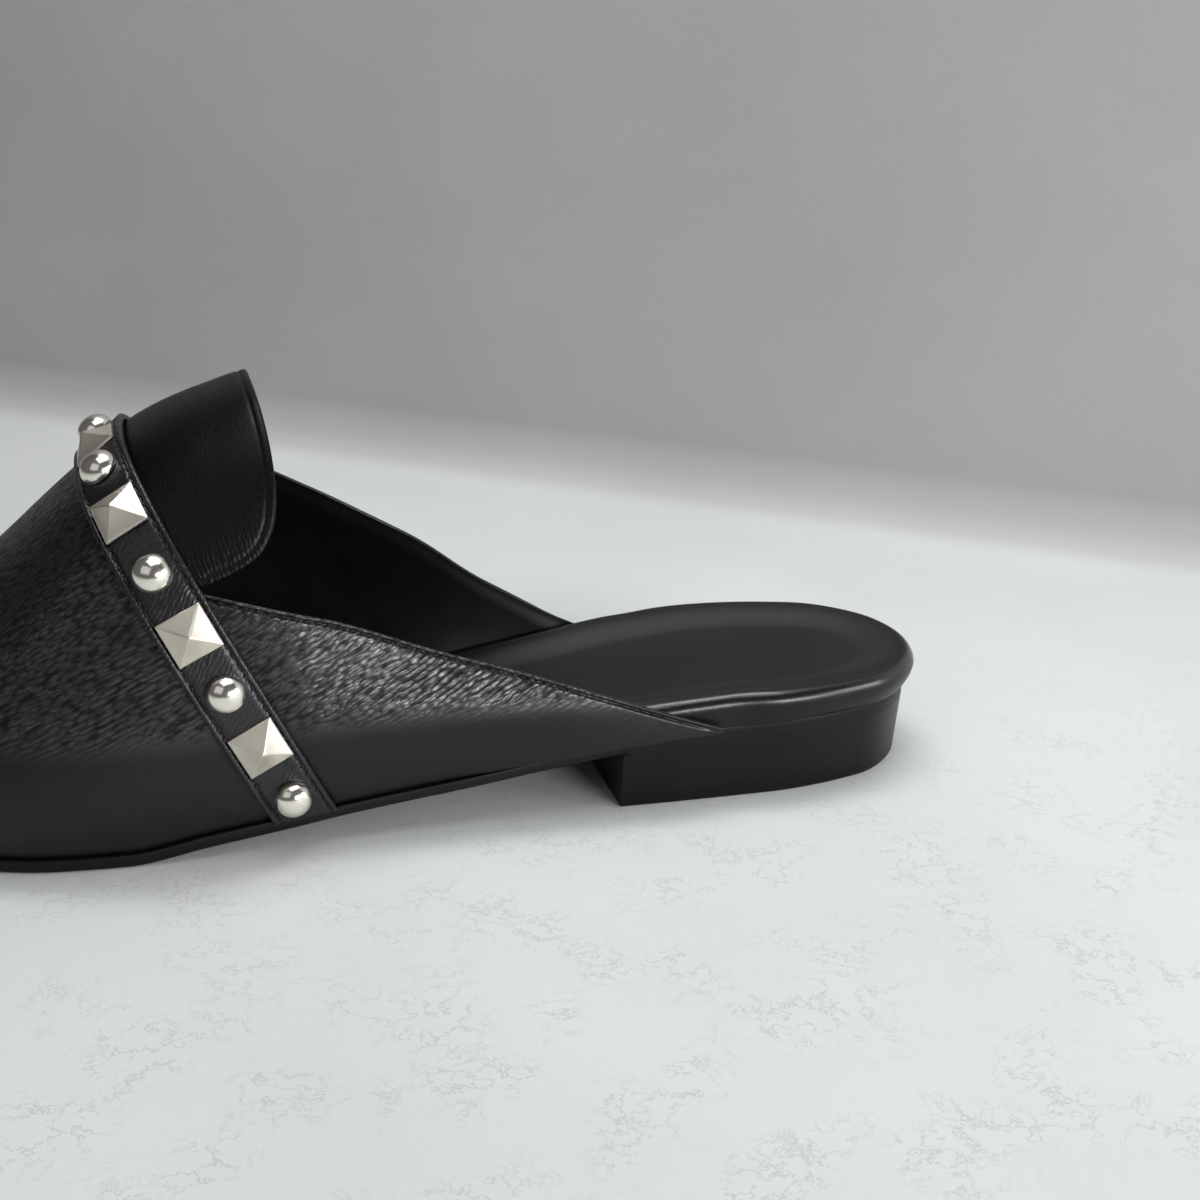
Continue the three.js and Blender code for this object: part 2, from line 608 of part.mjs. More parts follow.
// A pyramid stud on a low square edge.
function pyramidGeometry() {
  const half = PYRAMID_SIDE / 2;
  const corners = [[-half, -half], [half, -half], [half, half], [-half, half]];
  const points = [
    ...corners.map(([x, y]) => new THREE.Vector3(x, y, 0)),
    ...corners.map(([x, y]) => new THREE.Vector3(x, y, PYRAMID_EDGE)),
    new THREE.Vector3(0, 0, PYRAMID_HEIGHT),
  ];
  const faces = [[0, 2, 1], [0, 3, 2]];
  for (let i = 0; i < 4; i += 1) {
    const next = (i + 1) % 4;
    faces.push([i, next, next + 4], [i, next + 4, i + 4], [i + 4, next + 4, 8]);
  }
  return geometryOf({ points, faces });
}

const materials = {
  rubber: new THREE.MeshStandardMaterial({ color: 0x1a1a1b, roughness: 0.55, metalness: 0 }),
  leather: new THREE.MeshStandardMaterial({ color: 0x141416, roughness: 0.42, metalness: 0 }),
  lining: new THREE.MeshStandardMaterial({ color: 0x1c1b1b, roughness: 0.6, metalness: 0 }),
  metal: new THREE.MeshStandardMaterial({ color: 0xd9d4c8, roughness: 0.18, metalness: 1 }),
};

function named(name, geometry, material) {
  const mesh = new THREE.Mesh(geometry, material);
  mesh.name = name;
  return mesh;
}

// Domes and pyramids take turns along the strap, a dome at each foot.
function studs() {
  const dome = domeGeometry();
  const pyramid = pyramidGeometry();
  const group = new THREE.Group();
  studSeats().forEach(({ seat, along, outward }, n) => {
    const isDome = n % 2 === 0;
    const name = `${isDome ? "dome" : "pyramid"}_stud_${String(n + 1).padStart(2, "0")}`;
    const mesh = named(name, isDome ? dome : pyramid, materials.metal);
    const sideways = along.clone().cross(outward);
    mesh.matrix.makeBasis(sideways, along, outward.clone()).setPosition(seat);
    mesh.matrix.decompose(mesh.position, mesh.quaternion, mesh.scale);
    group.add(mesh);
  });
  return group;
}

const shoe = new THREE.Group();
shoe.add(
  named("outsole", outsoleGeometry(), materials.rubber),
  named("heel", heelGeometry(), materials.rubber),
  named("footbed", footbedGeometry(), materials.lining),
  named("upper", upperGeometry(), materials.leather),
  named("tongue", tongueGeometry(), materials.leather),
  named("strap", strapGeometry(), materials.leather),
  studs(),
);

// The origin is on the floor, under the middle of the whole shoe's box.
const box = new THREE.Box3().setFromObject(shoe, true);
const centre = box.getCenter(new THREE.Vector3());
shoe.position.set(-centre.x, -centre.y, -box.min.z);

export default shoe;
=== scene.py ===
"""A black leather backless loafer for the left foot, with a slanted studded saddle strap.

Lengths are in millimetres on the shoe's own lines: x is 0 at the back of the heel and falls towards the toe,
y grows towards the inner side of the foot and z is up from the floor. `place` takes them to the frame.
"""

import math

import bmesh
import bpy
import numpy as np
from mathutils import Matrix, Vector


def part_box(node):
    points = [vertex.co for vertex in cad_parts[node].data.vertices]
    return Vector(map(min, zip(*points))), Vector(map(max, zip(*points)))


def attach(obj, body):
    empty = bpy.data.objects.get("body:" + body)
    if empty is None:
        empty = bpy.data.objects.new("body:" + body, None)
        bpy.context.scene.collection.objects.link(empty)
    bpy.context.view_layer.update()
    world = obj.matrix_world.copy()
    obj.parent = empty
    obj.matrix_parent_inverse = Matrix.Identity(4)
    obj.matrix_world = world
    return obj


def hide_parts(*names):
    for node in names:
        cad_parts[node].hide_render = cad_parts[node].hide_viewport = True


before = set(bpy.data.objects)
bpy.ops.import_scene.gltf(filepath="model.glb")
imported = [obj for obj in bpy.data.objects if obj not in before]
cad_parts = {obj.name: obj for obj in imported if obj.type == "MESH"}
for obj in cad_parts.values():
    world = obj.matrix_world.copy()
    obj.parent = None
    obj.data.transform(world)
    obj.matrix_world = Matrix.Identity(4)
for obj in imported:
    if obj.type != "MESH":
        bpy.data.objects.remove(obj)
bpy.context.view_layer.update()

bl_info = {
    "name": "Backless loafer",
    "version": (1, 0, 0),
    "blender": (4, 5, 0),
    "location": "View3D > Sidebar > Loafer",
    "description": "Makes a left backless loafer with a studded strap, piece by piece",
    "category": "Mesh",
}

# Sizes shared with the solids, millimetres
LENGTH = 250.0
HEEL_WIDTH = 60.0
BALL_WIDTH = 82.0
SEAT_HEIGHT = 15.0
TOE_SPRING = 9.5
INSTEP_HEIGHT = 94.0
TOE_HEIGHT = 26.0
FULLNESS = 2.6
OUTSOLE = 3.0
SOLE_SHOWS = 0.9
HEEL_TAPER = 0.9
HEEL_LENGTH = 79.0
HEEL_SET_IN = 2.2
BED_THICK = 7.4
BED_FRONT = 4.2
RIM_DRAW = 1.5
HEEL_SEAM = 0.02
WALL = 1.6
OVERHANG = 1.1
TUCK = 2.6
TUCK_HEIGHT = 15.0
GAP = 0.3
LAP_GAP = 0.5
TONGUE_REACH = 25.6
TONGUE_FLARE = -2.0
TONGUE_LAP = 5.0
TONGUE_CLEAR = 1.4
TONGUE_WALL = 1.5
TONGUE_CORNER = 3.4
STRAP_WIDTH = 12.5
STRAP_THICK = 1.6
STRAP_LEAN = 27.3
STRAP_FOOT_AT = 0.565
THROAT_SHARE = 0.45
DOME_DIAMETER = 8.0
DOME_HEIGHT = 3.9
DOME_EDGE = 0.5
PYRAMID_SIDE = 9.6
PYRAMID_HEIGHT = 4.2
PYRAMID_EDGE = 0.5
STUDS = 15
FIRST_STUD = 6.4
FAN_BACK = 0.12
FAN_FRONT = 0.735
OUTER, INNER = -1, 1

# Share of the length, the size that the two sides are shares of, outer side, inner side.
OUTLINE = [
    (0, HEEL_WIDTH, 0, 0),
    (0.02, HEEL_WIDTH, 0.257, 0.257),
    (0.08, HEEL_WIDTH, 0.437, 0.437),
    (0.18, HEEL_WIDTH, 0.5, 0.5),
    (0.26, HEEL_WIDTH, 0.498, 0.492),
    (0.34, HEEL_WIDTH, 0.485, 0.462),
    (0.42, HEEL_WIDTH, 0.473, 0.463),
    (0.5, BALL_WIDTH, 0.344, 0.392),
    (0.58, BALL_WIDTH, 0.352, 0.48),
    (0.66, BALL_WIDTH, 0.364, 0.569),
    (0.73, BALL_WIDTH, 0.37, 0.62),
    (0.79, BALL_WIDTH, 0.358, 0.617),
    (0.85, BALL_WIDTH, 0.31, 0.573),
    (0.905, BALL_WIDTH, 0.222, 0.5),
    (0.955, BALL_WIDTH, 0.107, 0.405),
    (0.988, BALL_WIDTH, -0.014, 0.288),
    (1, BALL_WIDTH, -0.15, 0.15),
]
# Share of the length, the size that the rise is a share of, rise of the outsole's underside.
SOLE_LINE = [
    (0, SEAT_HEIGHT, 1),
    (0.18, SEAT_HEIGHT, 1),
    (0.26, SEAT_HEIGHT, 0.95),
    (0.316, SEAT_HEIGHT, 0.865),
    (0.374, SEAT_HEIGHT, 0.735),
    (0.48, SEAT_HEIGHT, 0.51),
    (0.572, SEAT_HEIGHT, 0.335),
    (0.67, SEAT_HEIGHT, 0.15),
    (0.735, SEAT_HEIGHT, 0),
    (0.83, TOE_SPRING, 0),
    (0.9, TOE_SPRING, 0.25),
    (0.96, TOE_SPRING, 0.66),
    (1, TOE_SPRING, 1),
]
# Share of the length, size, rise of the ridge, its place across (0 outer, 1 inner), share of the fullness.
RIDGE = [
    (0.2, INSTEP_HEIGHT, 0.56, 0.5, 0.71),
    (0.4, INSTEP_HEIGHT, 0.62, 0.52, 0.69),
    (0.48, INSTEP_HEIGHT, 0.72, 0.53, 0.71),
    (0.56, INSTEP_HEIGHT, 0.9, 0.55, 0.83),
    (0.6, INSTEP_HEIGHT, 0.978, 0.56, 0.98),
    (0.65, INSTEP_HEIGHT, 0.938, 0.55, 1),
    (0.7, INSTEP_HEIGHT, 0.875, 0.54, 1),
    (0.76, INSTEP_HEIGHT, 0.745, 0.53, 0.97),
    (0.82, INSTEP_HEIGHT, 0.605, 0.515, 0.93),
    (0.88, TOE_HEIGHT + TOE_SPRING, 1.27, 0.505, 0.9),
    (1, TOE_HEIGHT + TOE_SPRING, 0.75, 0.5, 0.85),
]
# Share of the length, size, height of the topline.
OUTER_TOPLINE = [
    (0.229, SEAT_HEIGHT, 1.27),
    (0.29, SEAT_HEIGHT, 1.624),
    (0.376, INSTEP_HEIGHT, 0.336),
    (0.478, INSTEP_HEIGHT, 0.425),
    (0.575, INSTEP_HEIGHT, 0.529),
    (0.69, INSTEP_HEIGHT, 0.62),
]
INNER_TOPLINE = [
    (0.27, SEAT_HEIGHT, 1.24),
    (0.326, SEAT_HEIGHT, 1.731),
    (0.393, INSTEP_HEIGHT, 0.391),
    (0.47, INSTEP_HEIGHT, 0.541),
    (0.577, INSTEP_HEIGHT, 0.665),
    (0.69, INSTEP_HEIGHT, 0.755),
]


# Curves through the tables
ROUNDS = 16  # passes that settle where two curves meet
HALVINGS = 40  # halvings of a span that finds where two curves cross


def phase_of(at):
    """Stations crowd towards heel and toe like the cosine, which keeps the table's round ends round."""
    return np.arccos(np.clip(1 - 2 * np.asarray(at, float), -1, 1)) / math.pi


def at_phase(phase):
    """The station of a phase."""
    return (1 - np.cos(math.pi * np.asarray(phase, float))) / 2


def smooth(value, low, high):
    """A soft step from 0 at low to 1 at high."""
    share = np.clip((np.asarray(value, float) - low) / (high - low), 0, 1)
    return share * share * (3 - 2 * share)


def through(rows, value_of):
    """A monotone cubic through a table's rows, over the phase."""
    x = phase_of([row[0] for row in rows])
    y = np.array([value_of(row) for row in rows], float)
    slope = np.diff(y) / np.diff(x)
    tangent = np.empty(len(y))
    tangent[0], tangent[-1] = slope[0], slope[-1]
    product = slope[:-1] * slope[1:]
    total = np.where(product > 0, slope[:-1] + slope[1:], 1)
    tangent[1:-1] = np.where(product > 0, 2 * product / total, 0)

    def curve(at):
        phase = np.clip(phase_of(at), x[0], x[-1])
        k = np.clip(np.searchsorted(x, phase, side="right") - 1, 0, len(x) - 2)
        span = x[k + 1] - x[k]
        t = (phase - x[k]) / span
        rise, fall, step = tangent[k] * span, tangent[k + 1] * span, y[k + 1] - y[k]
        return y[k] + t * (rise + t * (3 * step - 2 * rise - fall + t * (rise + fall - 2 * step)))

    return curve


outer_edge = through(OUTLINE, lambda row: row[1] * row[2])
inner_edge = through(OUTLINE, lambda row: row[1] * row[3])
underside = through(SOLE_LINE, lambda row: row[1] * row[2])
ridge_height = through(RIDGE, lambda row: row[1] * row[2])
ridge_across = through(RIDGE, lambda row: row[3])
fullness = through(RIDGE, lambda row: row[4] * FULLNESS)
topline = {
    OUTER: through(OUTER_TOPLINE, lambda row: row[1] * row[2]),
    INNER: through(INNER_TOPLINE, lambda row: row[1] * row[2]),
}
quarter_back = {OUTER: OUTER_TOPLINE[0][0], INNER: INNER_TOPLINE[0][0]}


def edge_y(at, side):
    """Where the outline lies across, on one side."""
    return np.where(np.asarray(side) < 0, -outer_edge(at), inner_edge(at))


def sole_top(at):
    """Height of the outsole's upper face."""
    return underside(at) + OUTSOLE


def outline_normal(at, side):
    """Level direction out of the outline, as its x and y."""
    step = 0.004
    phase = phase_of(at)
    before, after = at_phase(np.maximum(0, phase - step)), at_phase(np.minimum(1, phase + step))
    along_x = -LENGTH * (after - before)
    along_y = edge_y(after, side) - edge_y(before, side)
    side = np.asarray(side, float)
    out_x, out_y = along_y * side, -along_x * side
    ends = (phase <= step / 2) | (phase >= 1 - step / 2)
    out_x = np.where(ends, np.where(phase < 0.5, 1.0, -1.0), out_x)
    out_y = np.where(ends, 0.0, out_y)
    length = np.hypot(out_x, out_y)
    return out_x / length, out_y / length


def edge_point(at, side, out, z):
    """A point of the outline moved out past it, at a height."""
    at = np.asarray(at, float)
    out_x, out_y = outline_normal(at, side)
    x = -LENGTH * at + out_x * out
    y = edge_y(at, side) + out_y * out
    return np.stack(np.broadcast_arrays(x, y, z), -1)


def tuck_at(at):
    """How far the upper's foot is drawn in under its widest line."""
    return TUCK * smooth(at, 0.28, 0.48)


def ridge_station(at):
    """Where a section meets the ridge: the sections fan out round the toe."""
    fan = np.maximum(0, np.asarray(at, float) - FAN_FRONT)
    return at - fan * fan / (2 * (1 - FAN_FRONT))


def ridge_climb(at):
    """Slope of the ridge, rise for each millimetre towards the heel."""
    step = 0.01
    return (ridge_height(at - step) - ridge_height(at + step)) / (2 * step * LENGTH)


def upper_point(at, side, angle):
    """A point of the upper's outside: angle 0 is at the sole and a quarter turn is on the ridge."""
    at, side, angle = np.broadcast_arrays(np.asarray(at, float), side, np.asarray(angle, float))
    foot = sole_top(at) + GAP
    ridge_at = ridge_station(at)
    left, right = -outer_edge(ridge_at), inner_edge(ridge_at)
    ridge_x = -LENGTH * ridge_at
    ridge_y = left + (right - left) * ridge_across(ridge_at)
    ridge_z = ridge_height(ridge_at)
    power = 2 / fullness(at)
    inward = 1 - np.maximum(0, np.cos(angle)) ** power
    rise = (ridge_z - foot) * np.maximum(0, np.sin(angle)) ** power
    draw = tuck_at(at) * (1 - np.clip(rise / TUCK_HEIGHT, 0, 1)) ** 2
    edge = edge_point(at, side, OVERHANG - draw, 0.0)
    x = edge[..., 0] + (ridge_x - edge[..., 0]) * inward
    y = edge[..., 1] + (ridge_y - edge[..., 1]) * inward
    dip = np.where(at > FAN_FRONT, ridge_climb(ridge_at) * (x - ridge_x) * np.sin(angle) ** 4, 0)
    return np.stack([x, y, foot + rise + dip], -1)


def angle_at(at, z):
    """Angle of the point of the upper that lies at a height."""
    foot = sole_top(at) + GAP
    share = np.clip((z - foot) / (ridge_height(at) - foot), 0, 1)
    return np.arcsin(np.minimum(1, share ** (fullness(at) / 2)))


LEAN = math.tan(math.radians(STRAP_LEAN))
STRAP_RUN = STRAP_WIDTH / math.cos(math.radians(STRAP_LEAN))
STRAP_FOOT_Z = float(sole_top(STRAP_FOOT_AT))


def strap_station(across, z):
    """Station of a line of the strap at a height, on its leaning plane."""
    return STRAP_FOOT_AT + (STRAP_RUN * across + LEAN * (z - STRAP_FOOT_Z)) / LENGTH


def strap_at(across, side, angle):
    """Station where a leaning plane of the strap cuts a line of the upper at one angle."""
    at = np.full(np.broadcast(across, side, angle).shape, STRAP_FOOT_AT)
    for _ in range(ROUNDS):
        at = strap_station(across, upper_point(at, side, angle)[..., 2])
    return at


def neck_at(across, side):
    """Station where a leaning plane of the strap meets the topline."""
    at = STRAP_FOOT_AT
    for _ in range(ROUNDS):
        at = strap_station(across, topline[side](at))
    return float(at)


# From the shoe's own lines to the frame
def frame_shift():
    """The heel block tells where the back of the heel and the heel's middle line are."""
    low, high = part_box("heel")
    return np.array([high[0] * 1000 + HEEL_SET_IN, (low[1] + high[1]) * 500, 0.0])


SHIFT = frame_shift()


def place(points):
    """Shoe points in millimetres to the frame, in metres."""
    return (np.asarray(points, float) + SHIFT) / 1000


# Meshes
SHARP_ANGLE = 42.0  # degrees between two faces, past which their edge is left sharp
WELD = 0.002  # millimetres, points of a piece that are closer become one
GRID_WELD = 0.001  # millimetres, for the points of one panel
FAR = 99.0  # millimetres from a cut edge where a panel has none


def unit(vectors):
    """Vectors of length one."""
    return vectors / np.maximum(np.linalg.norm(vectors, axis=-1, keepdims=True), 1e-12)


def run_along(path):
    """How far each point of a path is from its start, along the path."""
    return np.concatenate([[0], np.cumsum(np.linalg.norm(np.diff(path, axis=0), axis=1))])


def spots_along(path, run, wanted):
    """Values of a path at wanted distances along it."""
    return np.stack([np.interp(wanted, run, path[:, k]) for k in range(3)], -1)


def welded(points):
    """Names the points of a grid so that points that fall together share a name."""
    flat = points.reshape(-1, 3)
    rounded = np.round(flat / GRID_WELD).astype(np.int64)
    _, first, names = np.unique(rounded, axis=0, return_index=True, return_inverse=True)
    return flat[first], names.ravel()


def grid_quads(columns, rows):
    """Quads that face outwards, for columns that run forward and rows that run up on the outer side."""
    a = np.arange((columns - 1) * rows).reshape(columns - 1, rows)[:, :-1].ravel()
    return np.stack([a, a + 1, a + rows + 1, a + rows], -1)


def ring_walls(count, size):
    """Quads between rings of one size, bottom first."""
    index = np.arange(size)
    after = (index + 1) % size
    wall = np.stack([index, after, after + size, index + size], -1)
    return np.concatenate([wall + r * size for r in range(count - 1)])


def quad_normals(points, quads):
    """Outward normals of welded points, each weighted by the quads round it."""
    corner = points[quads]
    face = np.cross(corner[:, 2] - corner[:, 0], corner[:, 3] - corner[:, 1])
    normals = np.zeros_like(points)
    for k in range(4):
        np.add.at(normals, quads[:, k], face)
    return unit(normals)


def open_borders(quads):
    """Edges that only one quad has, in that quad's direction."""
    edges = {}
    for quad in quads.tolist():
        for a, b in zip(quad, quad[1:] + quad[:1]):
            if a != b:
                edges[a, b] = True
    return [edge for edge in edges if edge[::-1] not in edges]


def link_object(name, data):
    """An object of the scene, at the origin."""
    obj = bpy.data.objects.new(name, data)
    bpy.context.scene.collection.objects.link(obj)
    return obj


def make_mesh(name, points, faces, facts=None):
    """A mesh object from shoe points and faces, with facts as attributes of its points."""
    mesh = bpy.data.meshes.new(name)
    mesh.from_pydata(place(points).tolist(), [], [list(map(int, face)) for face in faces])
    for fact, values in (facts or {}).items():
        attribute = mesh.attributes.new(fact, "FLOAT", "POINT")
        attribute.data.foreach_set("value", np.asarray(values, np.float32))
    obj = link_object(name, mesh)
    clean_mesh(mesh, WELD / 1000)
    return obj


def clean_mesh(mesh, merge):
    """Merges near points, turns the faces outwards and shades them smooth between the sharp edges."""
    work = bmesh.new()
    work.from_mesh(mesh)
    bmesh.ops.remove_doubles(work, verts=work.verts, dist=merge)
    bmesh.ops.dissolve_degenerate(work, edges=work.edges, dist=merge / 10)
    bmesh.ops.recalc_face_normals(work, faces=work.faces)
    work.to_mesh(mesh)
    work.free()
    mesh.shade_smooth()
    mesh.set_sharp_from_angle(angle=math.radians(SHARP_ANGLE))


def finish_piece(obj, nodes, materials):
    for material in materials:
        obj.data.materials.append(material)
    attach(obj, "root")
    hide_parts(*nodes)


# Materials
PER_MM = 1000.0  # scale of a pattern that has one cell a millimetre


def linear(hex_colour, light=1.0):
    """An sRGB hex colour, or a share of its light, as linear red, green, blue and alpha."""
    parts = [int(hex_colour[i : i + 2], 16) / 255 for i in (1, 3, 5)]
    return [light * (c / 12.92 if c <= 0.04045 else ((c + 0.055) / 1.055) ** 2.4) for c in parts] + [1.0]


def give(tree, node, links=None, **settings):
    """Gives a node its settings and links. Settings are its properties, input values after in_, and the stops
    of a ramp. A link is an input's name with an output, or with a node for that node's first output."""
    for key, value in settings.items():
        if key == "stops":
            for element, (position, colour) in zip(node.color_ramp.elements, value):
                element.position, element.color = position, colour
        elif key.startswith("in_"):
            name = key[3:]
            socket = node.inputs[int(name)] if name.isdigit() else node.inputs[name.replace("_", " ")]
            socket.default_value = value
        else:
            setattr(node, key, value)
    for key, source in (links or {}).items():
        tree.links.new(source.outputs[0] if isinstance(source, bpy.types.Node) else source, node.inputs[key])


def add(tree, kind, links=None, **settings):
    """Adds a node. A kind without the word Node is a shader node."""
    node = tree.nodes.new(kind if "Node" in kind else "ShaderNode" + kind)
    give(tree, node, links, **settings)
    return node


def new_material(name):
    """A material with its tree, its Principled shader and the coordinates of the piece."""
    material = bpy.data.materials.new(name)
    material.use_nodes = True
    tree = material.node_tree
    tree.nodes.clear()
    shader = add(tree, "BsdfPrincipled")
    add(tree, "OutputMaterial", {"Surface": shader})
    return material, tree, shader, add(tree, "TexCoord").outputs["Object"]


def material_once(maker, name, *values):
    """The material of a name, made when it is first asked for."""
    return bpy.data.materials.get(name) or maker(name, *values)


def calf_leather(name, look, slant, size, gloss):
    """Drum-dyed calf with a boarded grain: fine creases drawn out on a slant break the light into beads."""
    material, tree, shader, coords = new_material(name)
    long, short = size * look.grain_length / 1000, size * look.grain_width / 1000
    drawn = add(
        tree,
        "Mapping",
        {"Vector": coords},
        vector_type="TEXTURE",
        in_Rotation=(0, -math.radians(slant), 0),
        in_Scale=(long, short, short),
    )
    drift = add(tree, "TexNoise", {"Vector": drawn}, in_Scale=0.5, in_Detail=2.0).outputs["Color"]
    off = add(tree, "VectorMath", {0: drift}, operation="SUBTRACT", in_1=(0.5, 0.5, 0.5))
    pull = add(tree, "VectorMath", {0: off}, operation="SCALE", in_Scale=1.1)
    bent = add(tree, "VectorMath", {0: drawn, 1: pull}, operation="ADD")
    cells = add(tree, "TexVoronoi", {"Vector": bent}, feature="SMOOTH_F1", in_Scale=1.0, in_Smoothness=0.22)
    folds = add(
        tree,
        "TexWave",
        {"Vector": bent},
        bands_direction="Z",
        in_Scale=0.2,
        in_Distortion=5.0,
        in_Detail=2.0,
        in_Detail_Scale=1.1,
    ).outputs["Fac"]
    beads = add(tree, "TexNoise", {"Vector": coords}, in_Scale=1.9 * PER_MM, in_Detail=2.0)
    waves = add(tree, "TexNoise", {"Vector": coords}, in_Scale=0.14 * PER_MM, in_Detail=2.0)
    grain = add(tree, "Math", {0: cells}, operation="MULTIPLY", in_1=-1.05)
    for pattern, height in ((folds, 0.75), (beads, 0.25), (waves, 0.5)):
        grain = add(tree, "Math", {0: pattern, 2: grain}, operation="MULTIPLY_ADD", in_1=height)
    amount = add(tree, "Attribute", attribute_name="grain").outputs["Fac"]
    strength = add(tree, "Math", {0: amount}, operation="MULTIPLY", in_1=look.grain_depth)
    bump = add(tree, "Bump", {"Height": grain, "Strength": strength}, in_Distance=0.00011 * size)
    cloud = add(tree, "TexNoise", {"Vector": coords}, in_Scale=0.045 * PER_MM, in_Detail=2.0)
    stops = [(0.3, linear(look.leather_dark)), (0.7, linear(look.leather_light))]
    colour = add(tree, "ValToRGB", {"Fac": cloud}, stops=stops)
    rough = add(
        tree,
        "MapRange",
        {"Value": cells},
        in_From_Min=0.1,
        in_From_Max=0.8,
        in_To_Min=look.leather_roughness - 0.04,
        in_To_Max=look.leather_roughness + 0.14,
    )
    # Painted shade: the shine is turned down in the valleys between the beads, where shade would fall.
    painted_valley_shade = add(tree, "Math", {0: cells, 1: amount}, operation="MULTIPLY")
    valley_shade_span = {"in_From_Min": 0.3, "in_From_Max": 0.8, "in_To_Min": gloss, "in_To_Max": gloss * 0.25}
    shade = add(tree, "MapRange", {"Value": painted_valley_shade}, **valley_shade_span)
    lift = add(tree, "Math", {0: amount}, operation="MULTIPLY_ADD", in_1=1.65, in_2=1.0)
    shine = add(tree, "Math", {0: shade, 1: lift}, operation="MULTIPLY")
    finish = {"Base Color": colour, "Roughness": rough, "Specular IOR Level": shine, "Normal": bump}
    give(tree, shader, finish, in_IOR=1.5)
    return material


def smooth_leather(name, colour, roughness, depth, specular):
    """Smooth finished leather: almost no pores, a faint drag of the finish in the light."""
    material, tree, shader, coords = new_material(name)
    pores = add(tree, "TexNoise", {"Vector": coords}, in_Scale=1.4 * PER_MM, in_Detail=3.0)
    waves = add(tree, "TexNoise", {"Vector": coords}, in_Scale=0.12 * PER_MM, in_Detail=2.0)
    height = add(tree, "Math", {0: waves, 2: pores}, operation="MULTIPLY_ADD", in_1=1.5)
    bump = add(tree, "Bump", {"Height": height}, in_Strength=depth, in_Distance=0.0003)
    stops = [(0.3, linear(colour, 0.85)), (0.7, linear(colour, 1.2))]
    tone = add(tree, "ValToRGB", {"Fac": waves}, stops=stops)
    rough = add(tree, "MapRange", {"Value": waves}, in_To_Min=roughness - 0.06, in_To_Max=roughness + 0.06)
    finish = {"Base Color": tone, "Roughness": rough, "Normal": bump}
    give(tree, shader, finish, in_IOR=1.5, in_Specular_IOR_Level=specular)
    return material


def lining_leather(look):
    """The thin smooth leather inside upper and tongue."""
    return material_once(smooth_leather, "smooth_lining_leather", look.lining_colour, 0.5, 0.12, 0.5)


def footbed_leather(name, look):
    """Footbed leather pulled over padding: matt where the foot goes, burnished round the rim, with a slope paled
    partly by wear and partly by painted sheen.
    """
    material, tree, shader, coords = new_material(name)
    pores = add(tree, "TexNoise", {"Vector": coords}, in_Scale=1.6 * PER_MM, in_Detail=4.0)
    cloud = add(tree, "TexNoise", {"Vector": coords}, in_Scale=0.06 * PER_MM, in_Detail=2.0)
    rim = add(tree, "Attribute", attribute_name="rim").outputs["Fac"]
    rub = add(tree, "Attribute", attribute_name="rub").outputs["Fac"]
    bump = add(tree, "Bump", {"Height": pores}, in_Strength=0.3, in_Distance=0.0002)
    stops = [(0.3, linear(look.footbed_dark)), (0.75, linear(look.footbed_light))]
    tone = add(tree, "ValToRGB", {"Fac": cloud}, stops=stops)
    span = {"in_To_Min": look.footbed_roughness, "in_To_Max": look.rim_roughness}
    rough = add(tree, "MapRange", {"Value": rim}, **span)
    waxed = add(tree, "MapRange", {"Value": rim}, in_From_Min=0.6, in_From_Max=0.95)
    # Painted sheen: the slope's pale tone stands partly for light caught on the slope and partly for the heel's
    # rubbing.
    pale = linear(look.footbed_rub_and_sheen)
    rubbed_and_sheen = add(tree, "Mix", {0: rub, 6: tone}, data_type="RGBA", in_7=pale).outputs[2]
    finish = {"Base Color": rubbed_and_sheen, "Roughness": rough, "Coat Weight": waxed, "Normal": bump}
    give(tree, shader, finish, in_Coat_Roughness=0.24, in_IOR=1.48, in_Specular_IOR_Level=0.32)
    return material


def moulded_rubber(name, colour, roughness):
    """Moulded rubber with a satin skin: a very fine matt tooth and slow changes in gloss."""
    material, tree, shader, coords = new_material(name)
    tooth = add(tree, "TexNoise", {"Vector": coords}, in_Scale=2.2 * PER_MM, in_Detail=3.0)
    cloud = add(tree, "TexNoise", {"Vector": coords}, in_Scale=0.045 * PER_MM, in_Detail=3.0)
    bump = add(tree, "Bump", {"Height": tooth}, in_Strength=0.15, in_Distance=0.0002)
    rough = add(tree, "MapRange", {"Value": cloud}, in_To_Min=roughness - 0.08, in_To_Max=roughness + 0.08)
    rubber = {"in_Base_Color": linear(colour), "in_IOR": 1.5, "in_Specular_IOR_Level": 0.22}
    give(tree, shader, {"Roughness": rough, "Normal": bump}, **rubber)
    return material


def pale_nickel(name, colour, roughness):
    """Pale nickel plate on pressed brass: mirror-bright domes, and pyramids with a softer tumbled shine."""
    material, tree, shader, coords = new_material(name)
    haze = add(tree, "TexNoise", {"Vector": coords}, in_Scale=0.7 * PER_MM, in_Detail=3.0)
    rough = add(tree, "MapRange", {"Value": haze}, in_To_Min=roughness - 0.03, in_To_Max=roughness + 0.05)
    bump = add(tree, "Bump", {"Height": haze}, in_Strength=0.04, in_Distance=0.0002)
    metal = {"in_Base_Color": linear(colour), "in_Metallic": 1.0}
    give(tree, shader, {"Roughness": rough, "Normal": bump}, **metal)
    return material


def waxed_thread(name, colour):
    """Waxed polyester thread: twisted plies that catch small lights along each stitch."""
    material, tree, shader, coords = new_material(name)
    plies = {"bands_direction": "DIAGONAL", "in_Scale": 1.4 * PER_MM, "in_Distortion": 1.0}
    twist = add(tree, "TexWave", {"Vector": coords}, **plies).outputs["Fac"]
    bump = add(tree, "Bump", {"Height": twist}, in_Strength=0.4, in_Distance=0.0001)
    give(tree, shader, {"Normal": bump}, in_Base_Color=linear(colour), in_Roughness=0.5)
    return material


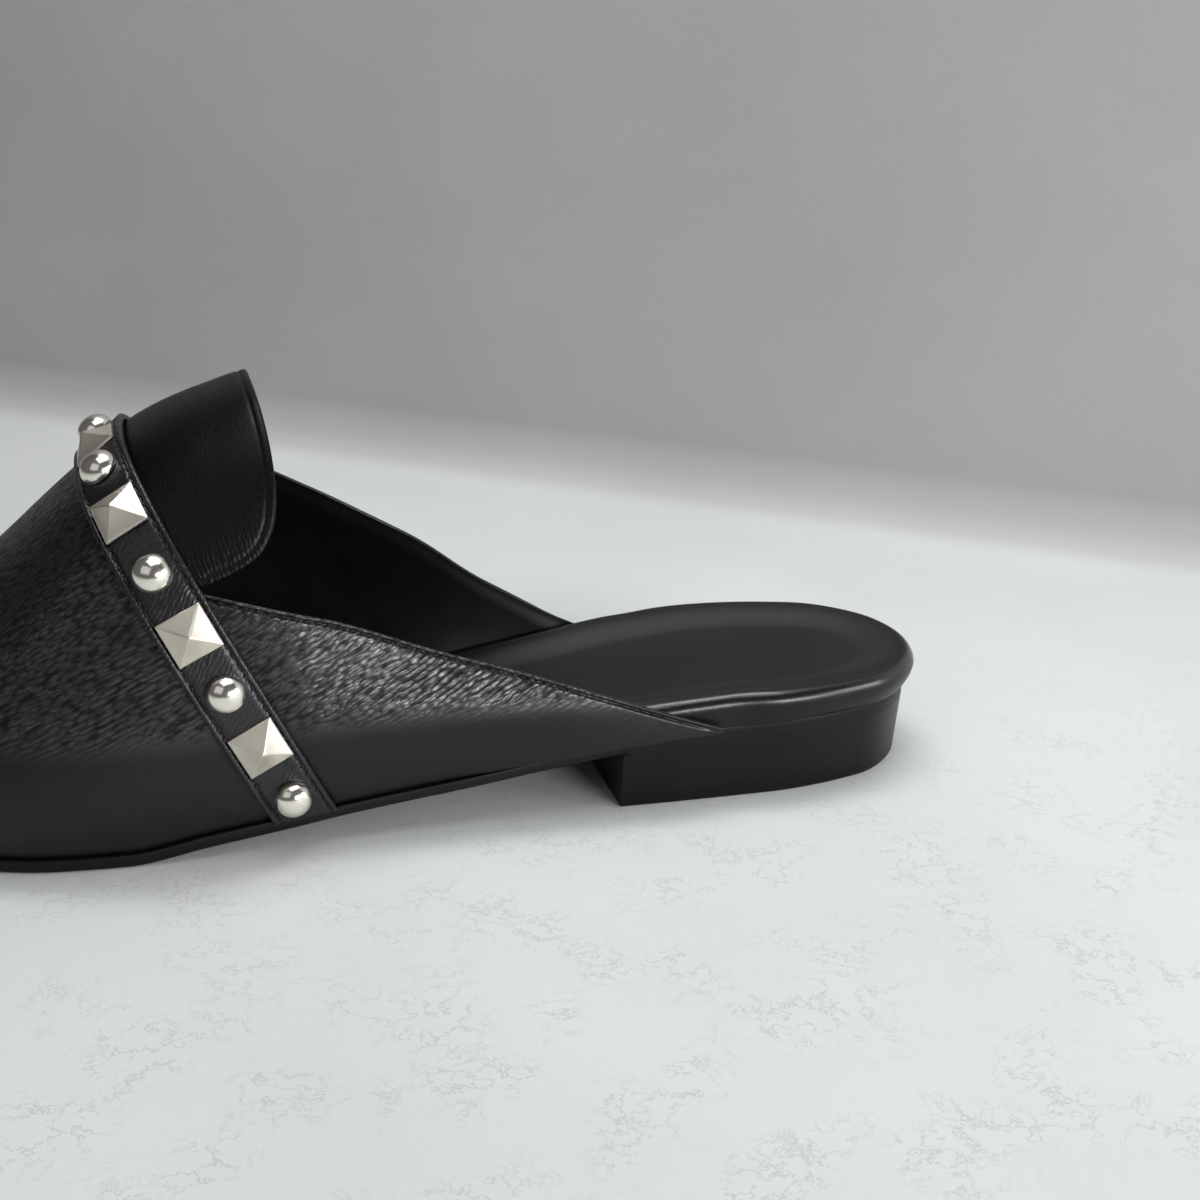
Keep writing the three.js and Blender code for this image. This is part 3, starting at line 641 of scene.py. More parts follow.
# Panels of leather
def leather_shell(name, grid, wall, relief, edge, grain, sink=0.0, out=0.0, radius=None, skive=0.0):
    """A panel with a rounded border, and the directions out of its grid points. Relief stands out along them,
    and edge is a point's distance from the cut edge. The inner sheet comes after the outer one and has no grain.
    Sink sets the panel in, out moves it out, and skive thins the wall from the inside."""
    points, names = welded(grid)
    quads = names[grid_quads(*grid.shape[:2])]
    normals = quad_normals(points, quads)
    radius = radius or wall / 2
    turn = radius - np.sqrt(np.maximum(0, radius**2 - np.maximum(0, radius - edge) ** 2))
    drop, thinned = (value + np.zeros(grid.shape[:2]) for value in (sink, skive))

    def by_point(amount):
        kept = np.zeros(len(points))
        kept[names] = np.ravel(amount)
        return kept[:, None]

    outside = points + normals * by_point(out + relief - drop - turn)
    inside = points + normals * by_point(out - wall - drop + np.maximum(turn, thinned))
    count = len(points)
    faces = [face for quad in quads.tolist() if len(face := list(dict.fromkeys(quad))) > 2]
    walls = [[b, a, a + count, b + count] for a, b in open_borders(quads)]
    lining = [[v + count for v in face[::-1]] for face in faces]
    none = np.zeros(count)
    facts = {
        "grain": np.append(by_point(grain)[:, 0], none),
        "fold": np.append(none, by_point(thinned)[:, 0]),
    }
    obj = make_mesh(name, np.concatenate([outside, inside]), faces + lining + walls, facts)
    return obj, normals[names].reshape(grid.shape)


def stitched_edge(sizes, edge, stitch):
    """A turned edge's bead and the stitched groove inside it, as shares of their height and depth."""
    bead = np.exp(-(((edge - stitch / 2) / (stitch / 2)) ** 2))
    groove = np.exp(-(((edge - stitch) / sizes.groove_width) ** 2))
    return bead, groove


def by_distance(points, wanted):
    """Fractional row numbers of each column at wanted distances from the column's last point."""
    steps = np.linalg.norm(np.diff(points, axis=1), axis=-1)
    run = np.concatenate([np.zeros((len(points), 1)), np.cumsum(steps[:, ::-1], axis=1)], axis=1)
    rows = np.arange(points.shape[1])[::-1]
    return np.stack([np.interp(want, r, rows) for want, r in zip(wanted, run)])


BACK_COLUMNS, THROAT_COLUMNS, VAMP_COLUMNS = 130, 46, 130
UPPER_ROWS = 56
FINE_ROWS = 160
# Millimetres from the cut edge to the upper's first rows, which lie close over the bead and the groove.
EDGE_ROWS = np.array([0, 0.12, 0.26, 0.42, 0.6, 0.78, 0.94, 1.08, 1.2, 1.32, 1.44, 1.58, 1.76, 2.1, 2.8, 4.2])


def upper_places():
    """Stations, sides and top angles of the upper's columns, outer quarter, toe, inner quarter."""
    crossing = ridge_crossing(THROAT_SHARE)
    halves = {}
    for side in (OUTER, INNER):
        neck = neck_at(THROAT_SHARE, side)
        at = np.linspace(quarter_back[side], neck, BACK_COLUMNS)
        top = angle_at(at, topline[side](at))
        throat_top = np.linspace(top[-1], math.pi / 2, THROAT_COLUMNS)[1:]
        throat_at = strap_at(THROAT_SHARE, side, throat_top)
        vamp_at = at_phase(np.linspace(phase_of(crossing), 1, VAMP_COLUMNS)[1:])
        halves[side] = (
            np.concatenate([at, throat_at, vamp_at]),
            np.full(len(at) + len(throat_at) + len(vamp_at), side),
            np.concatenate([top, throat_top, np.full(len(vamp_at), math.pi / 2)]),
        )
    return [np.concatenate([outer, inner[::-1][1:]]) for outer, inner in zip(halves[OUTER], halves[INNER])]


def ridge_crossing(across):
    """Station where the upper side of a leaning plane of the strap comes out of the ridge."""
    low, high = STRAP_FOOT_AT, FAN_FRONT
    for _ in range(HALVINGS):
        middle = (low + high) / 2
        height = STRAP_FOOT_Z + (LENGTH * (middle - STRAP_FOOT_AT) - STRAP_RUN * across) / LEAN
        low, high = (low, middle) if height > ridge_height(middle) else (middle, high)
    return high


def make_upper(sizes, look):
    """Vamp and quarters: one shell with a turned topline, a stitched groove under it and its lining."""
    stations, sides, tops = upper_places()
    angles = tops[:, None] * np.linspace(0, 1, FINE_ROWS) ** 1.15
    section = upper_point(stations[:, None], sides[:, None], angles)
    length = np.linalg.norm(np.diff(section, axis=1), axis=-1).sum(1)
    near = len(EDGE_ROWS)
    rest = np.linspace(0, 1, UPPER_ROWS - near + 1)[1:]
    wanted = []
    for total in length:
        fixed = np.minimum(EDGE_ROWS, total * np.arange(near) / UPPER_ROWS * 1.6)
        wanted.append(np.concatenate([fixed, fixed[-1] + (total - fixed[-1]) * rest]))
    wanted = np.array(wanted)
    pick = by_distance(section, wanted)
    angles = np.stack([np.interp(p, np.arange(FINE_ROWS), a) for p, a in zip(pick, angles)])[:, ::-1]
    down = wanted[:, ::-1]
    points = upper_point(stations[:, None], sides[:, None], angles)
    # The cut edge runs along topline and throat and down the back of each quarter, and the vamp has none.
    open_top = tops < math.pi / 2 - 1e-6
    cut = np.where(open_top, 1.0, 0.0)[:, None]
    back_column = np.where((sides < 0)[:, None, None], points[:1], points[-1:])
    edge = np.where(open_top[:, None], down, FAR)
    edge = np.minimum(edge, np.linalg.norm(points - back_column, axis=-1))
    bead, groove = stitched_edge(sizes, down, sizes.groove_drop)
    fade = cut * smooth(length, 1.5, 4)[:, None]
    relief = fade * (bead * sizes.bead_height - groove * sizes.groove_depth) + creases(points)
    # Boarded grain shows on the upper half of the quarters and fades to smooth leather near the sole.
    grain = 0.08 + 0.92 * smooth(points[..., 2], 23.5, 30)
    # The leather is turned in over the topline and skived, so the wall thins towards its edge.
    skive = sizes.edge_skive * (1 - smooth(down, 0.3, sizes.edge_turn)) * cut
    shape = {"radius": sizes.edge_round, "skive": skive}
    obj, normals = leather_shell("upper_leather", points, WALL, relief, edge, grain, **shape)
    leather = material_once(calf_leather, "boarded_calf_leather", look, look.grain_slant, 1.0, 0.34)
    # The turned-in edge is paler than the calf: real turned leather, with a painted sheen where it catches the
    # light.
    turned = material_once(smooth_leather, "turned_edge_leather", look.turned_sheen_colour, 0.36, 0.12, 0.6)
    finish_piece(obj, ["upper"], [leather, lining_leather(look), turned])
    paint_inside(obj)
    lines = []
    for side in (OUTER, INNER):
        columns = np.flatnonzero((sides == side) & open_top & (length > 6) & (stations < neck_at(-0.1, side)))
        spots, outward = [], []
        for c in columns:
            row = UPPER_ROWS - 1 - np.interp(sizes.groove_drop, wanted[c], np.arange(UPPER_ROWS))
            low = int(row)
            part = row - low
            spots.append(points[c, low] * (1 - part) + points[c, low + 1] * part)
            outward.append(normals[c, low])
        spots, outward = np.array(spots), np.array(outward)
        lines.append((spots - outward * sizes.groove_depth * 0.55, outward))
    return lines


def paint_inside(obj):
    """Faces of the inner sheet take the lining, and near the topline the leather that is turned in, paler with a
    painted sheen.
    """
    facts = []
    for name in ("grain", "fold"):
        values = np.empty(len(obj.data.vertices), np.float32)
        obj.data.attributes[name].data.foreach_get("value", values)
        facts.append(values)
    grain, fold = facts
    for polygon in obj.data.polygons:
        inner = all(grain[v] < 0.01 for v in polygon.vertices)
        turned = all(fold[v] > 0.02 for v in polygon.vertices)
        polygon.material_index = int(inner) + int(inner and turned)


# Start and end as distance from the heel and height, half width, depth. A negative depth is a ridge.
CREASES = [
    ((150, 16), (172, 62), 5.0, 0.45),
    ((146, 28), (88, 27.5), 8.0, -1.2),
    ((120, 23), (88, 19), 4.0, 0.2),
    ((138, 31), (104, 25), 4.5, -0.25),
    ((196, 18), (206, 52), 9.0, 0.3),
    ((212, 14), (222, 44), 8.0, -0.25),
]


def creases(points):
    """Soft troughs and ridges in the leather, each along a line."""
    relief = np.zeros(points.shape[:2])
    s, z = -points[..., 0], points[..., 2]
    for (s0, z0), (s1, z1), width, depth in CREASES:
        run = np.hypot(s1 - s0, z1 - z0)
        along = ((s - s0) * (s1 - s0) + (z - z0) * (z1 - z0)) / run**2
        off = ((s - s0) * (z1 - z0) - (z - z0) * (s1 - s0)) / run
        fade = smooth(along, -0.3, 0.3) * (1 - smooth(along, 0.7, 1.3))
        relief -= depth * np.exp(-((off / width) ** 2)) * fade
    return relief


TONGUE_COLUMNS, TONGUE_BACK_ROWS = 150, 64
# Shares of the way from the strap's back edge to the throat where the tongue's rows under the strap lie.
TONGUE_STEPS = (0.35, 0.6, 0.85)


def make_tongue(sizes, look):
    """Standing tongue: a rounded tab with a turned border and a groove inside it, its front edge under the vamp.
    """
    half = np.sin(np.linspace(0, math.pi / 2, TONGUE_COLUMNS // 2 + 1))
    under_strap = [THROAT_SHARE * step for step in TONGUE_STEPS]
    lap = THROAT_SHARE + TONGUE_LAP / STRAP_WIDTH
    under = WALL + LAP_GAP
    foot_angle = {}
    for side in (OUTER, INNER):
        for across in (0.0, *under_strap, THROAT_SHARE):
            at = neck_at(across, side)
            foot_angle[side, across] = float(angle_at(at, topline[side](at) + TONGUE_CLEAR))

    def column_at(share):
        """Points and sinking of one column, from the lap under the vamp back to the free end."""
        side = OUTER if share < 0 else INNER
        away = abs(share)
        angles = {
            across: math.pi / 2 - away * (math.pi / 2 - foot_angle[side, across])
            for across in (0.0, *under_strap, THROAT_SHARE)
        }
        neck = LENGTH * float(strap_at(0.0, side, angles[0.0]))
        rounding = (1 - away**TONGUE_CORNER) ** (1 / TONGUE_CORNER)
        reach = (TONGUE_REACH + TONGUE_FLARE * away * away) * rounding
        back = neck - reach * (1 - np.linspace(0, 1, TONGUE_BACK_ROWS) ** 1.7)
        column = [upper_point(back / LENGTH, side, angles[0.0])]
        sink = [np.zeros(TONGUE_BACK_ROWS)]
        for across in under_strap:
            at = strap_at(across, side, angles[across])
            column.append(upper_point(at, side, angles[across])[None])
            sink.append([under * smooth(across, THROAT_SHARE * 0.2, THROAT_SHARE * 0.85)])
        for across in (THROAT_SHARE, lap):
            at = strap_at(across, side, angles[THROAT_SHARE])
            column.append(upper_point(at, side, angles[THROAT_SHARE])[None])
            sink.append([under])
        return np.concatenate(column)[::-1], np.concatenate(sink)[::-1]

    columns = [column_at(share) for share in (*-half[::-1], *half[1:])]
    points, sink = (np.array(part) for part in zip(*columns))
    edge = np.full(points.shape[:2], FAR)
    for spot in points[:, -1]:
        edge = np.minimum(edge, np.linalg.norm(points - spot, axis=-1))
    bead, groove = stitched_edge(sizes, edge, sizes.tongue_stitch)
    relief = bead * sizes.bead_height * 0.3 - groove * sizes.groove_depth * 0.45
    height = points[..., 2] / points[..., 2].max()
    grain = 0.12 + 0.6 * (1 - smooth(height, 0.66, 0.88))
    obj, _ = leather_shell("tongue_leather", points, TONGUE_WALL, relief, edge, grain, sink=sink)
    leather = material_once(calf_leather, "soft_tongue_leather", look, 104.0, 0.8, 0.1)
    finish_piece(obj, ["tongue"], [leather, lining_leather(look)])
    paint_inside(obj)


STRAP_COLUMNS = 700
# Shares of the strap's width where its rows lie, from an edge to the middle.
STRAP_ROWS = (
    *(0, 0.006, 0.014, 0.024, 0.036, 0.05, 0.066, 0.08),
    *(0.094, 0.108, 0.122, 0.14, 0.17, 0.23, 0.31, 0.4),
)


def strap_surface(across, columns=STRAP_COLUMNS):
    """Points of the upper under one line of the strap, outer foot over the ridge to the inner foot."""
    angles = np.linspace(0, math.pi / 2, columns // 2)
    outer = upper_point(strap_at(across, OUTER, angles), OUTER, angles)
    inner = upper_point(strap_at(across, INNER, angles), INNER, angles)
    line = np.concatenate([outer, inner[::-1][1:]])
    run = run_along(line)
    return spots_along(line, run, np.linspace(0, run[-1], columns))


def make_strap(sizes, look):
    """Saddle strap with turned edges and a stitched channel inside each of them."""
    across = np.array([*STRAP_ROWS, 0.5, *(1 - share for share in STRAP_ROWS[::-1])])
    points = np.stack([strap_surface(share) for share in across], 1)[:, ::-1]
    edge = np.minimum(across, 1 - across)[None, ::-1] * STRAP_WIDTH + np.zeros(points.shape[:2])
    bead, groove = stitched_edge(sizes, edge, sizes.strap_stitch)
    relief = bead * sizes.bead_height * 0.8 - groove * sizes.groove_depth
    grain = np.full(points.shape[:2], 0.6)
    top = GAP + STRAP_THICK
    obj, _ = leather_shell("strap_leather", points, STRAP_THICK, relief, edge, grain, out=top, radius=0.45)
    leather = material_once(calf_leather, "strap_calf_leather", look, 62.0, 0.75, 0.3)
    finish_piece(obj, ["strap"], [leather])
    lines = []
    for share in (sizes.strap_stitch / STRAP_WIDTH, 1 - sizes.strap_stitch / STRAP_WIDTH):
        line = strap_surface(share)
        outward = unit(np.cross(np.gradient(line, axis=0), strap_surface(share + 0.01) - line))
        lines.append((line + outward * (top - sizes.groove_depth * 0.4), outward))
    return lines


# Sole, heel and footbed
def ring_places(count):
    """Stations and sides round the whole outline, out along one side and back along the other."""
    phases = np.linspace(0, 1, count)
    stations = np.concatenate([at_phase(phases), at_phase(phases[1:-1][::-1])])
    return stations, np.concatenate([np.full(count, OUTER), np.full(count - 2, INNER)])


def ring_solid(name, rings, facts=None):
    """A closed solid from rings of equal length, bottom first, with the first and last joined across."""
    size = len(rings[0])
    i = np.arange(size // 2)
    j = (size - i) % size
    k = size - i - 1
    top = (len(rings) - 1) * size
    bottom_faces = np.stack([i + 1, i, j, k], -1)
    top_faces = np.stack([i, i + 1, k, j], -1) + top
    faces = np.concatenate([ring_walls(len(rings), size), bottom_faces, top_faces])
    return make_mesh(name, np.concatenate(rings), faces, facts)


def sole_inset(at):
    """How far the sole's edge lies inside the outline, from the heel's to the forefoot's."""
    front = TUCK - OVERHANG - SOLE_SHOWS
    return HEEL_SET_IN + (front - HEEL_SET_IN) * smooth(at, 0.28, 0.48)


def make_outsole(look):
    """Outsole with a softly rounded trimmed edge and a pared waist."""
    at, side = ring_places(260)
    past_heel = np.where(at < HEEL_LENGTH / LENGTH, 0.0, 1.0)
    waist = 3.2 * smooth(at, 0.32, 0.4) * (1 - smooth(at, 0.5, 0.62))
    bevel = 0.8 + waist
    inset = sole_inset(at)
    low, high = underside(at), sole_top(at)

    # How far each ring lies inside the edge, and its height.
    profile = [
        (bevel * past_heel + 9, low),
        (bevel * past_heel, low),
        (0.35 * bevel * past_heel, low + 0.32 * past_heel),
        (0.0, low + 0.8 * past_heel),
        (0.0, low + 0.5 * OUTSOLE),
        (0.0, high - 0.35),
        (0.1, high - 0.1),
        (0.35, high),
        (6.0, high),
    ]
    obj = ring_solid("outsole_rubber", [edge_point(at, side, -inset - more, z) for more, z in profile])
    rubber = material_once(moulded_rubber, "satin_sole_rubber", look.sole_colour, 0.42)
    finish_piece(obj, ["outsole"], [rubber])


def make_heel(look):
    """Low block heel with an upright breast and softly broken edges."""
    count = 150
    half = at_phase(np.linspace(0, phase_of(HEEL_LENGTH / LENGTH), count))
    breast = np.linspace(1, -1, 40)[1:-1]
    at = np.concatenate([half, np.full(len(breast), HEEL_LENGTH / LENGTH), half[::-1][:-1]])
    sides = np.concatenate([np.full(count, OUTER), np.zeros(len(breast)), np.full(count - 1, INNER)])
    middle = sides == 0

    def ring(share, more):
        """A ring at a share of the heel's height, set further in than the taper does."""
        z = (underside(at) - HEEL_SEAM) * share
        inset = sole_inset(at) + HEEL_TAPER * (1 - share) + more
        out = edge_point(at, np.where(middle, OUTER, sides), -inset, z)
        out[:, 0] = np.maximum(out[:, 0], more - HEEL_LENGTH)
        outer_y, inner_y = out[count - 1, 1], out[count + len(breast), 1]
        out[middle, 1] = outer_y + (inner_y - outer_y) * (1 - breast) / 2
        out[middle, 0] = more - HEEL_LENGTH
        return out

    height = float(underside(0.1)) - HEEL_SEAM
    # Height in shares of the block's, and how far the ring is set in.
    profile = [
        (0.0, 6.0),
        (0.0, 0.5),
        (0.12 / height, 0.2),
        (0.45 / height, 0.0),
        (0.8 / height, 0.0),
        (1 - 0.5 / height, 0.0),
        (1.0, 0.0),
        (1.0, 6.0),
    ]
    rings = [ring(share, more) for share, more in profile]
    size = len(at)
    last = (len(rings) - 1) * size
    faces = [*ring_walls(len(rings), size), range(size)[::-1], range(last, last + size)]
    obj = make_mesh("heel_block", np.concatenate(rings), faces)
    rubber = material_once(moulded_rubber, "satin_heel_cover", look.heel_colour, 0.36)
    finish_piece(obj, ["heel"], [rubber])


def make_footbed(sizes, look):
    """Padded footbed: leather drawn over a foam sheet, with rounded rim, flat margin and a dished seat."""
    at, side = ring_places(300)
    margin = 0.35
    back = np.where(side < 0, quarter_back[OUTER], quarter_back[INNER])
    inside = (WALL + GAP + margin - OVERHANG) * smooth(at - back, -0.06, -0.01)
    draw_in = RIM_DRAW * (1 - smooth(at, 0.12, 0.21))
    foot_inset = inside + tuck_at(at) + margin * smooth(at, 0.28, 0.4) + draw_in
    side_inset = inside + 0.75 * tuck_at(at)
    thickness = BED_THICK + (BED_FRONT - BED_THICK) * smooth(at, 0.3, 0.7)
    base = sole_top(at) + GAP
    top = base + thickness
    scale = thickness / BED_THICK
    dish = sizes.dish_depth * (1 - smooth(at, 0.3, 0.62))
    station = np.clip(at, FAN_BACK, 1 - FAN_BACK)
    middle_y = (inner_edge(station) - outer_edge(station)) / 2

    def inwards(z, part_of):
        """A ring of points part of the way from the rim's widest line to the middle line."""
        rim = edge_point(at, side, -side_inset, z)
        way = np.stack([-LENGTH * station, middle_y, rim[:, 2]], -1) - rim
        return rim + way * part_of(np.linalg.norm(way, axis=1))[:, None]

    def ring(distance, z):
        return inwards(z, lambda length: np.minimum(1, distance / length))

    def seat_ring(share, z):
        def part_of(length):
            start = np.minimum(0.9, (sizes.bed_band + sizes.dish_slope) / length)
            return start + (1 - start) * share

        return inwards(z, part_of)

    none = at * 0
    rings = [edge_point(at, side, -foot_inset - 5, base), edge_point(at, side, -foot_inset - 0.3, base)]
    rim_fact = [none, none + 0.6]
    radius = sizes.bed_round
    shoulder = thickness - radius * scale
    for part in (0.06, 0.2, 0.4, 0.6, 0.8, 0.92):
        # The side of the rim swells from the foot to its widest line under the rounding.
        swell = math.sin(part * math.pi / 2)
        inset = foot_inset - (foot_inset - side_inset) * swell
        rings.append(edge_point(at, side, -inset, base + shoulder * part))
        rim_fact.append(none + 0.55)
    for turn in np.linspace(0, math.pi / 2, 11):
        out = radius * (1 - math.cos(turn))
        rings.append(ring(out, top - radius * scale * (1 - math.sin(turn))))
        # Burnished most where the rim rounds over to the seat.
        worn = math.exp(-(((turn - 0.85) / 0.5) ** 2))
        rim_fact.append(none + (0.55 + 0.45 * worn if turn < 0.9 else 0.15 + 0.85 * worn))
    # A fine welt line is pressed in where the rim's leather meets the seat cover.
    for distance, drop in ((0.45, 0.0), (0.6, 0.09), (0.75, 0.0), (1.2, 0.0)):
        rings.append(ring(radius + distance, top - drop * (1 - smooth(at, 0.6, 0.75))))
        rim_fact.append(none + 0.12)
    # The slope is paled partly by the heel's rubbing and partly by a painted sheen where it faces the light,
    # most on the inner side and round the back.
    most = np.where(side < 0, 0.25 + 0.75 * (1 - smooth(at, 0.02, 0.14)), 1.0) * (1 - smooth(at, 0.3, 0.42))
    rub_and_sheen_fact = [none] * len(rings)
    for share in np.linspace(0, 1, 12):
        rings.append(ring(sizes.bed_band + sizes.dish_slope * share, top - dish * float(smooth(share, 0, 1))))
        rub_and_sheen_fact.append(most * math.sin(math.pi * min(1, 0.08 + share * 0.85)))
    for share in (0.25, 0.5, 0.75, 1.0):
        rings.append(seat_ring(share, top - dish * (1 + 0.12 * share)))
        rub_and_sheen_fact.append(most * 0.2 * (1 - share))
    rim_fact += [none] * (len(rings) - len(rim_fact))
    facts = {"rim": np.concatenate(rim_fact), "rub": np.concatenate(rub_and_sheen_fact)}
    obj = ring_solid("footbed_pad", rings, facts)
    leather = material_once(footbed_leather, "burnished_footbed_leather", look)
    finish_piece(obj, ["footbed"], [leather])


# Studs and stitches, repeated by Geometry Nodes
def repeat_tree(name):
    """Puts one shape on every point of a carrier mesh, turned by the carrier's own two directions."""
    tree = bpy.data.node_groups.get(name)
    if tree:
        return tree
    tree = bpy.data.node_groups.new(name, "GeometryNodeTree")
    face = tree.interface
    inputs = {"Geometry": "Geometry", "Shape": "Object", "Size": "Float", "Material": "Material"}
    for socket, kind in inputs.items():
        face.new_socket(socket, in_out="INPUT", socket_type="NodeSocket" + kind)
    face.new_socket("Geometry", in_out="OUTPUT", socket_type="NodeSocketGeometry")
    start = add(tree, "NodeGroupInput").outputs
    out = add(tree, "GeometryNodeInputNamedAttribute", data_type="FLOAT_VECTOR", in_Name="outward")
    along = add(tree, "GeometryNodeInputNamedAttribute", data_type="FLOAT_VECTOR", in_Name="along")
    stand = add(tree, "FunctionNodeAlignRotationToVector", {"Vector": out}, axis="Z")
    sway = {"Rotation": stand, "Vector": along}
    turn = add(tree, "FunctionNodeAlignRotationToVector", sway, axis="X", pivot_axis="Z")
    shape = add(tree, "GeometryNodeObjectInfo", {"Object": start["Shape"]}).outputs["Geometry"]
    spots = {"Points": start["Geometry"], "Instance": shape, "Rotation": turn, "Scale": start["Size"]}
    copies = add(tree, "GeometryNodeInstanceOnPoints", spots)
    real = add(tree, "GeometryNodeRealizeInstances", {"Geometry": copies})
    paint = add(tree, "GeometryNodeSetMaterial", {"Geometry": real, "Material": start["Material"]})
    add(tree, "NodeGroupOutput", {"Geometry": paint})
    return tree


def repeat(name, spots, along, outward, shape, material, slot):
    """Runs the repeating tree, keeps the result as a plain mesh of the root body and removes the shape."""
    carrier_mesh = bpy.data.meshes.new(name + "_points")
    carrier_mesh.from_pydata(place(spots).tolist(), [], [])
    for fact, vectors in (("along", along), ("outward", outward)):
        attribute = carrier_mesh.attributes.new(fact, "FLOAT_VECTOR", "POINT")
        attribute.data.foreach_set("vector", np.asarray(vectors, np.float32).ravel())
    carrier = link_object(name + "_carrier", carrier_mesh)
    tree = repeat_tree("repeat_on_points")
    modifier = carrier.modifiers.new("repeat", "NODES")
    modifier.node_group = tree
    values = {"Shape": shape, "Size": 1.0, "Material": material}
    for item in tree.interface.items_tree:
        if item.in_out == "INPUT" and item.name in values:
            modifier[item.identifier] = values[item.name]
    bpy.context.view_layer.update()
    depsgraph = bpy.context.evaluated_depsgraph_get()
    mesh = bpy.data.meshes.new_from_object(carrier.evaluated_get(depsgraph), depsgraph=depsgraph)
    mesh.name = name
    carrier.modifiers.clear()
    bpy.data.objects.remove(carrier)
    bpy.data.objects.remove(shape)
    if not len(mesh.polygons):
        raise RuntimeError(name + " came out empty")
    mesh.shade_smooth()
    obj = link_object(name, mesh)
    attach(obj, "root")
    return obj


SHAPE_WELD = 1e-7  # metres


def shape_object(name, points, faces):
    """A small shape about its own origin, in metres, for the repeating tree."""
    mesh = bpy.data.meshes.new(name)
    mesh.from_pydata((np.asarray(points) / 1000).tolist(), [], faces)
    clean_mesh(mesh, SHAPE_WELD)
    return link_object(name, mesh)


def dome_shape():
    """A pressed dome that stands on a short upright edge, turned about its axis."""
    radius = DOME_DIAMETER / 2
    rise = DOME_HEIGHT - DOME_EDGE
    profile = [(0, 0), (radius - 0.15, 0), (radius - 0.03, 0.08), (radius, 0.25)]
    climb = np.linspace(0, math.pi / 2, 20)[:-1]
    profile += [(radius * math.cos(t), DOME_EDGE + rise * math.sin(t)) for t in climb]
    profile.append((0, DOME_HEIGHT))
    turns = np.linspace(0, 2 * math.pi, 48, endpoint=False)
    points = [[out * math.cos(t), out * math.sin(t), height] for out, height in profile for t in turns]
    return shape_object("dome_form", points, ring_walls(len(profile), len(turns)).tolist())


def pyramid_shape():
    """A pressed pyramid: flat facets that meet in softly rounded ridges, on a low upright edge."""
    half = PYRAMID_SIDE / 2
    soft = 0.22
    rounded_edge = 0.25 / half
    line = np.linspace(-1, 1, 49)
    line = np.sign(line) * np.abs(line) ** 0.9
    count = len(line)
    points = []
    for u in line:
        for v in line:
            # The larger of the two shares, rounded where they are alike, gives the fall from the peak.
            a, b = abs(u) * half, abs(v) * half
            top = max(a, b) + max(0.0, soft - abs(a - b)) ** 2 / (4 * soft)
            fall = (math.sqrt(top * top + soft * soft) - soft * 0.5) / half
            height = PYRAMID_EDGE + (PYRAMID_HEIGHT - PYRAMID_EDGE) * (1 - min(1.0, fall)) ** 1.22
            near_edge = max(0.0, max(abs(u), abs(v)) - (1 - rounded_edge)) / rounded_edge
            points.append([u * half, v * half, height - 0.12 * near_edge**2])
    cells = [i * count + j for i in range(count - 1) for j in range(count - 1)]
    faces = [[a, a + count, a + count + 1, a + 1] for a in cells]
    border = [
        *(i * count for i in range(count)),
        *((count - 1) * count + j for j in range(1, count)),
        *(i * count + count - 1 for i in range(count - 2, -1, -1)),
        *range(count - 2, 0, -1),
    ]
    base = range(len(points), len(points) + len(border))
    points += [[*points[k][:2], 0.0] for k in border]
    after = [*range(1, len(border)), 0]
    faces += [[border[n], base[n], base[m], border[m]] for n, m in enumerate(after)]
    return shape_object("pyramid_form", points, [*faces, list(base)])


def stud_seats():
    """Spots of the studs on the strap's top, with the directions along the strap and out of it."""
    back, middle, front = (strap_surface(share, 1200) for share in (0.25, 0.5, 0.75))
    run = run_along(middle)
    spots = np.linspace(FIRST_STUD, run[-1] - FIRST_STUD, STUDS)
    index = np.clip(np.searchsorted(run, spots), 4, len(run) - 5)
    along = unit(middle[index + 4] - middle[index - 4])
    outward = unit(np.cross(along, unit(front[index] - back[index])))
    return middle[index] + outward * (GAP + STRAP_THICK), along, outward


def make_studs(look):
    """Domes and pyramids in turn along the strap, a dome at each foot."""
    rough = look.stud_roughness
    polished = material_once(pale_nickel, "polished_pale_nickel", look.stud_colour, rough)
    tumbled = material_once(pale_nickel, "tumbled_pale_nickel", look.pyramid_colour, rough + 0.24)
    seats = stud_seats()
    kinds = (("dome", dome_shape(), polished), ("pyramid", pyramid_shape(), tumbled))
    for first, (name, shape, nickel) in enumerate(kinds):
        chosen = np.arange(first, STUDS, 2)
        obj = repeat(name + "_studs", *(part[chosen] for part in seats), shape, nickel, "stud")
        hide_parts(*(f"{name}_stud_{n + 1:02d}" for n in chosen))


def stitch_shape(length, thick):
    """One stitch: a short rod of thread with rounded ends that dip into the leather."""
    along, around = np.linspace(-1, 1, 8), np.arange(8) * math.pi / 4
    points = []
    for t in along:
        width = thick / 2 * math.sqrt(max(0.0, 1 - abs(t) ** 3))
        drop = -thick * 0.45 * t * t
        points += [[length / 2 * t, width * math.cos(turn), drop + width * math.sin(turn)] for turn in around]
    return shape_object("stitch_form", points, ring_walls(len(along), len(around)).tolist())


def stitch_line(name, path, outward, sizes, look, slot):
    """Stitches at an even pitch along a path of shoe points."""
    run = run_along(path)
    count = max(2, int(run[-1] / sizes.stitch_pitch))
    middles = (np.arange(count) + 0.5) * run[-1] / count
    behind, spots, ahead = (spots_along(path, run, middles + step) for step in (-0.4, 0.0, 0.4))
    out = unit(spots_along(outward, run, middles))
    thread = material_once(waxed_thread, "waxed_black_thread", look.thread_colour)
    shape = stitch_shape(sizes.stitch_length, sizes.stitch_thick)
    repeat(name, spots, unit(ahead - behind), out, shape, thread, slot)


# Settings, operators and panel
def millimetres(label, meaning, default):
    """A setting that is a length."""
    meaning += ", millimetres"
    return bpy.props.FloatProperty(name=label, description=meaning, default=default, min=0.0)


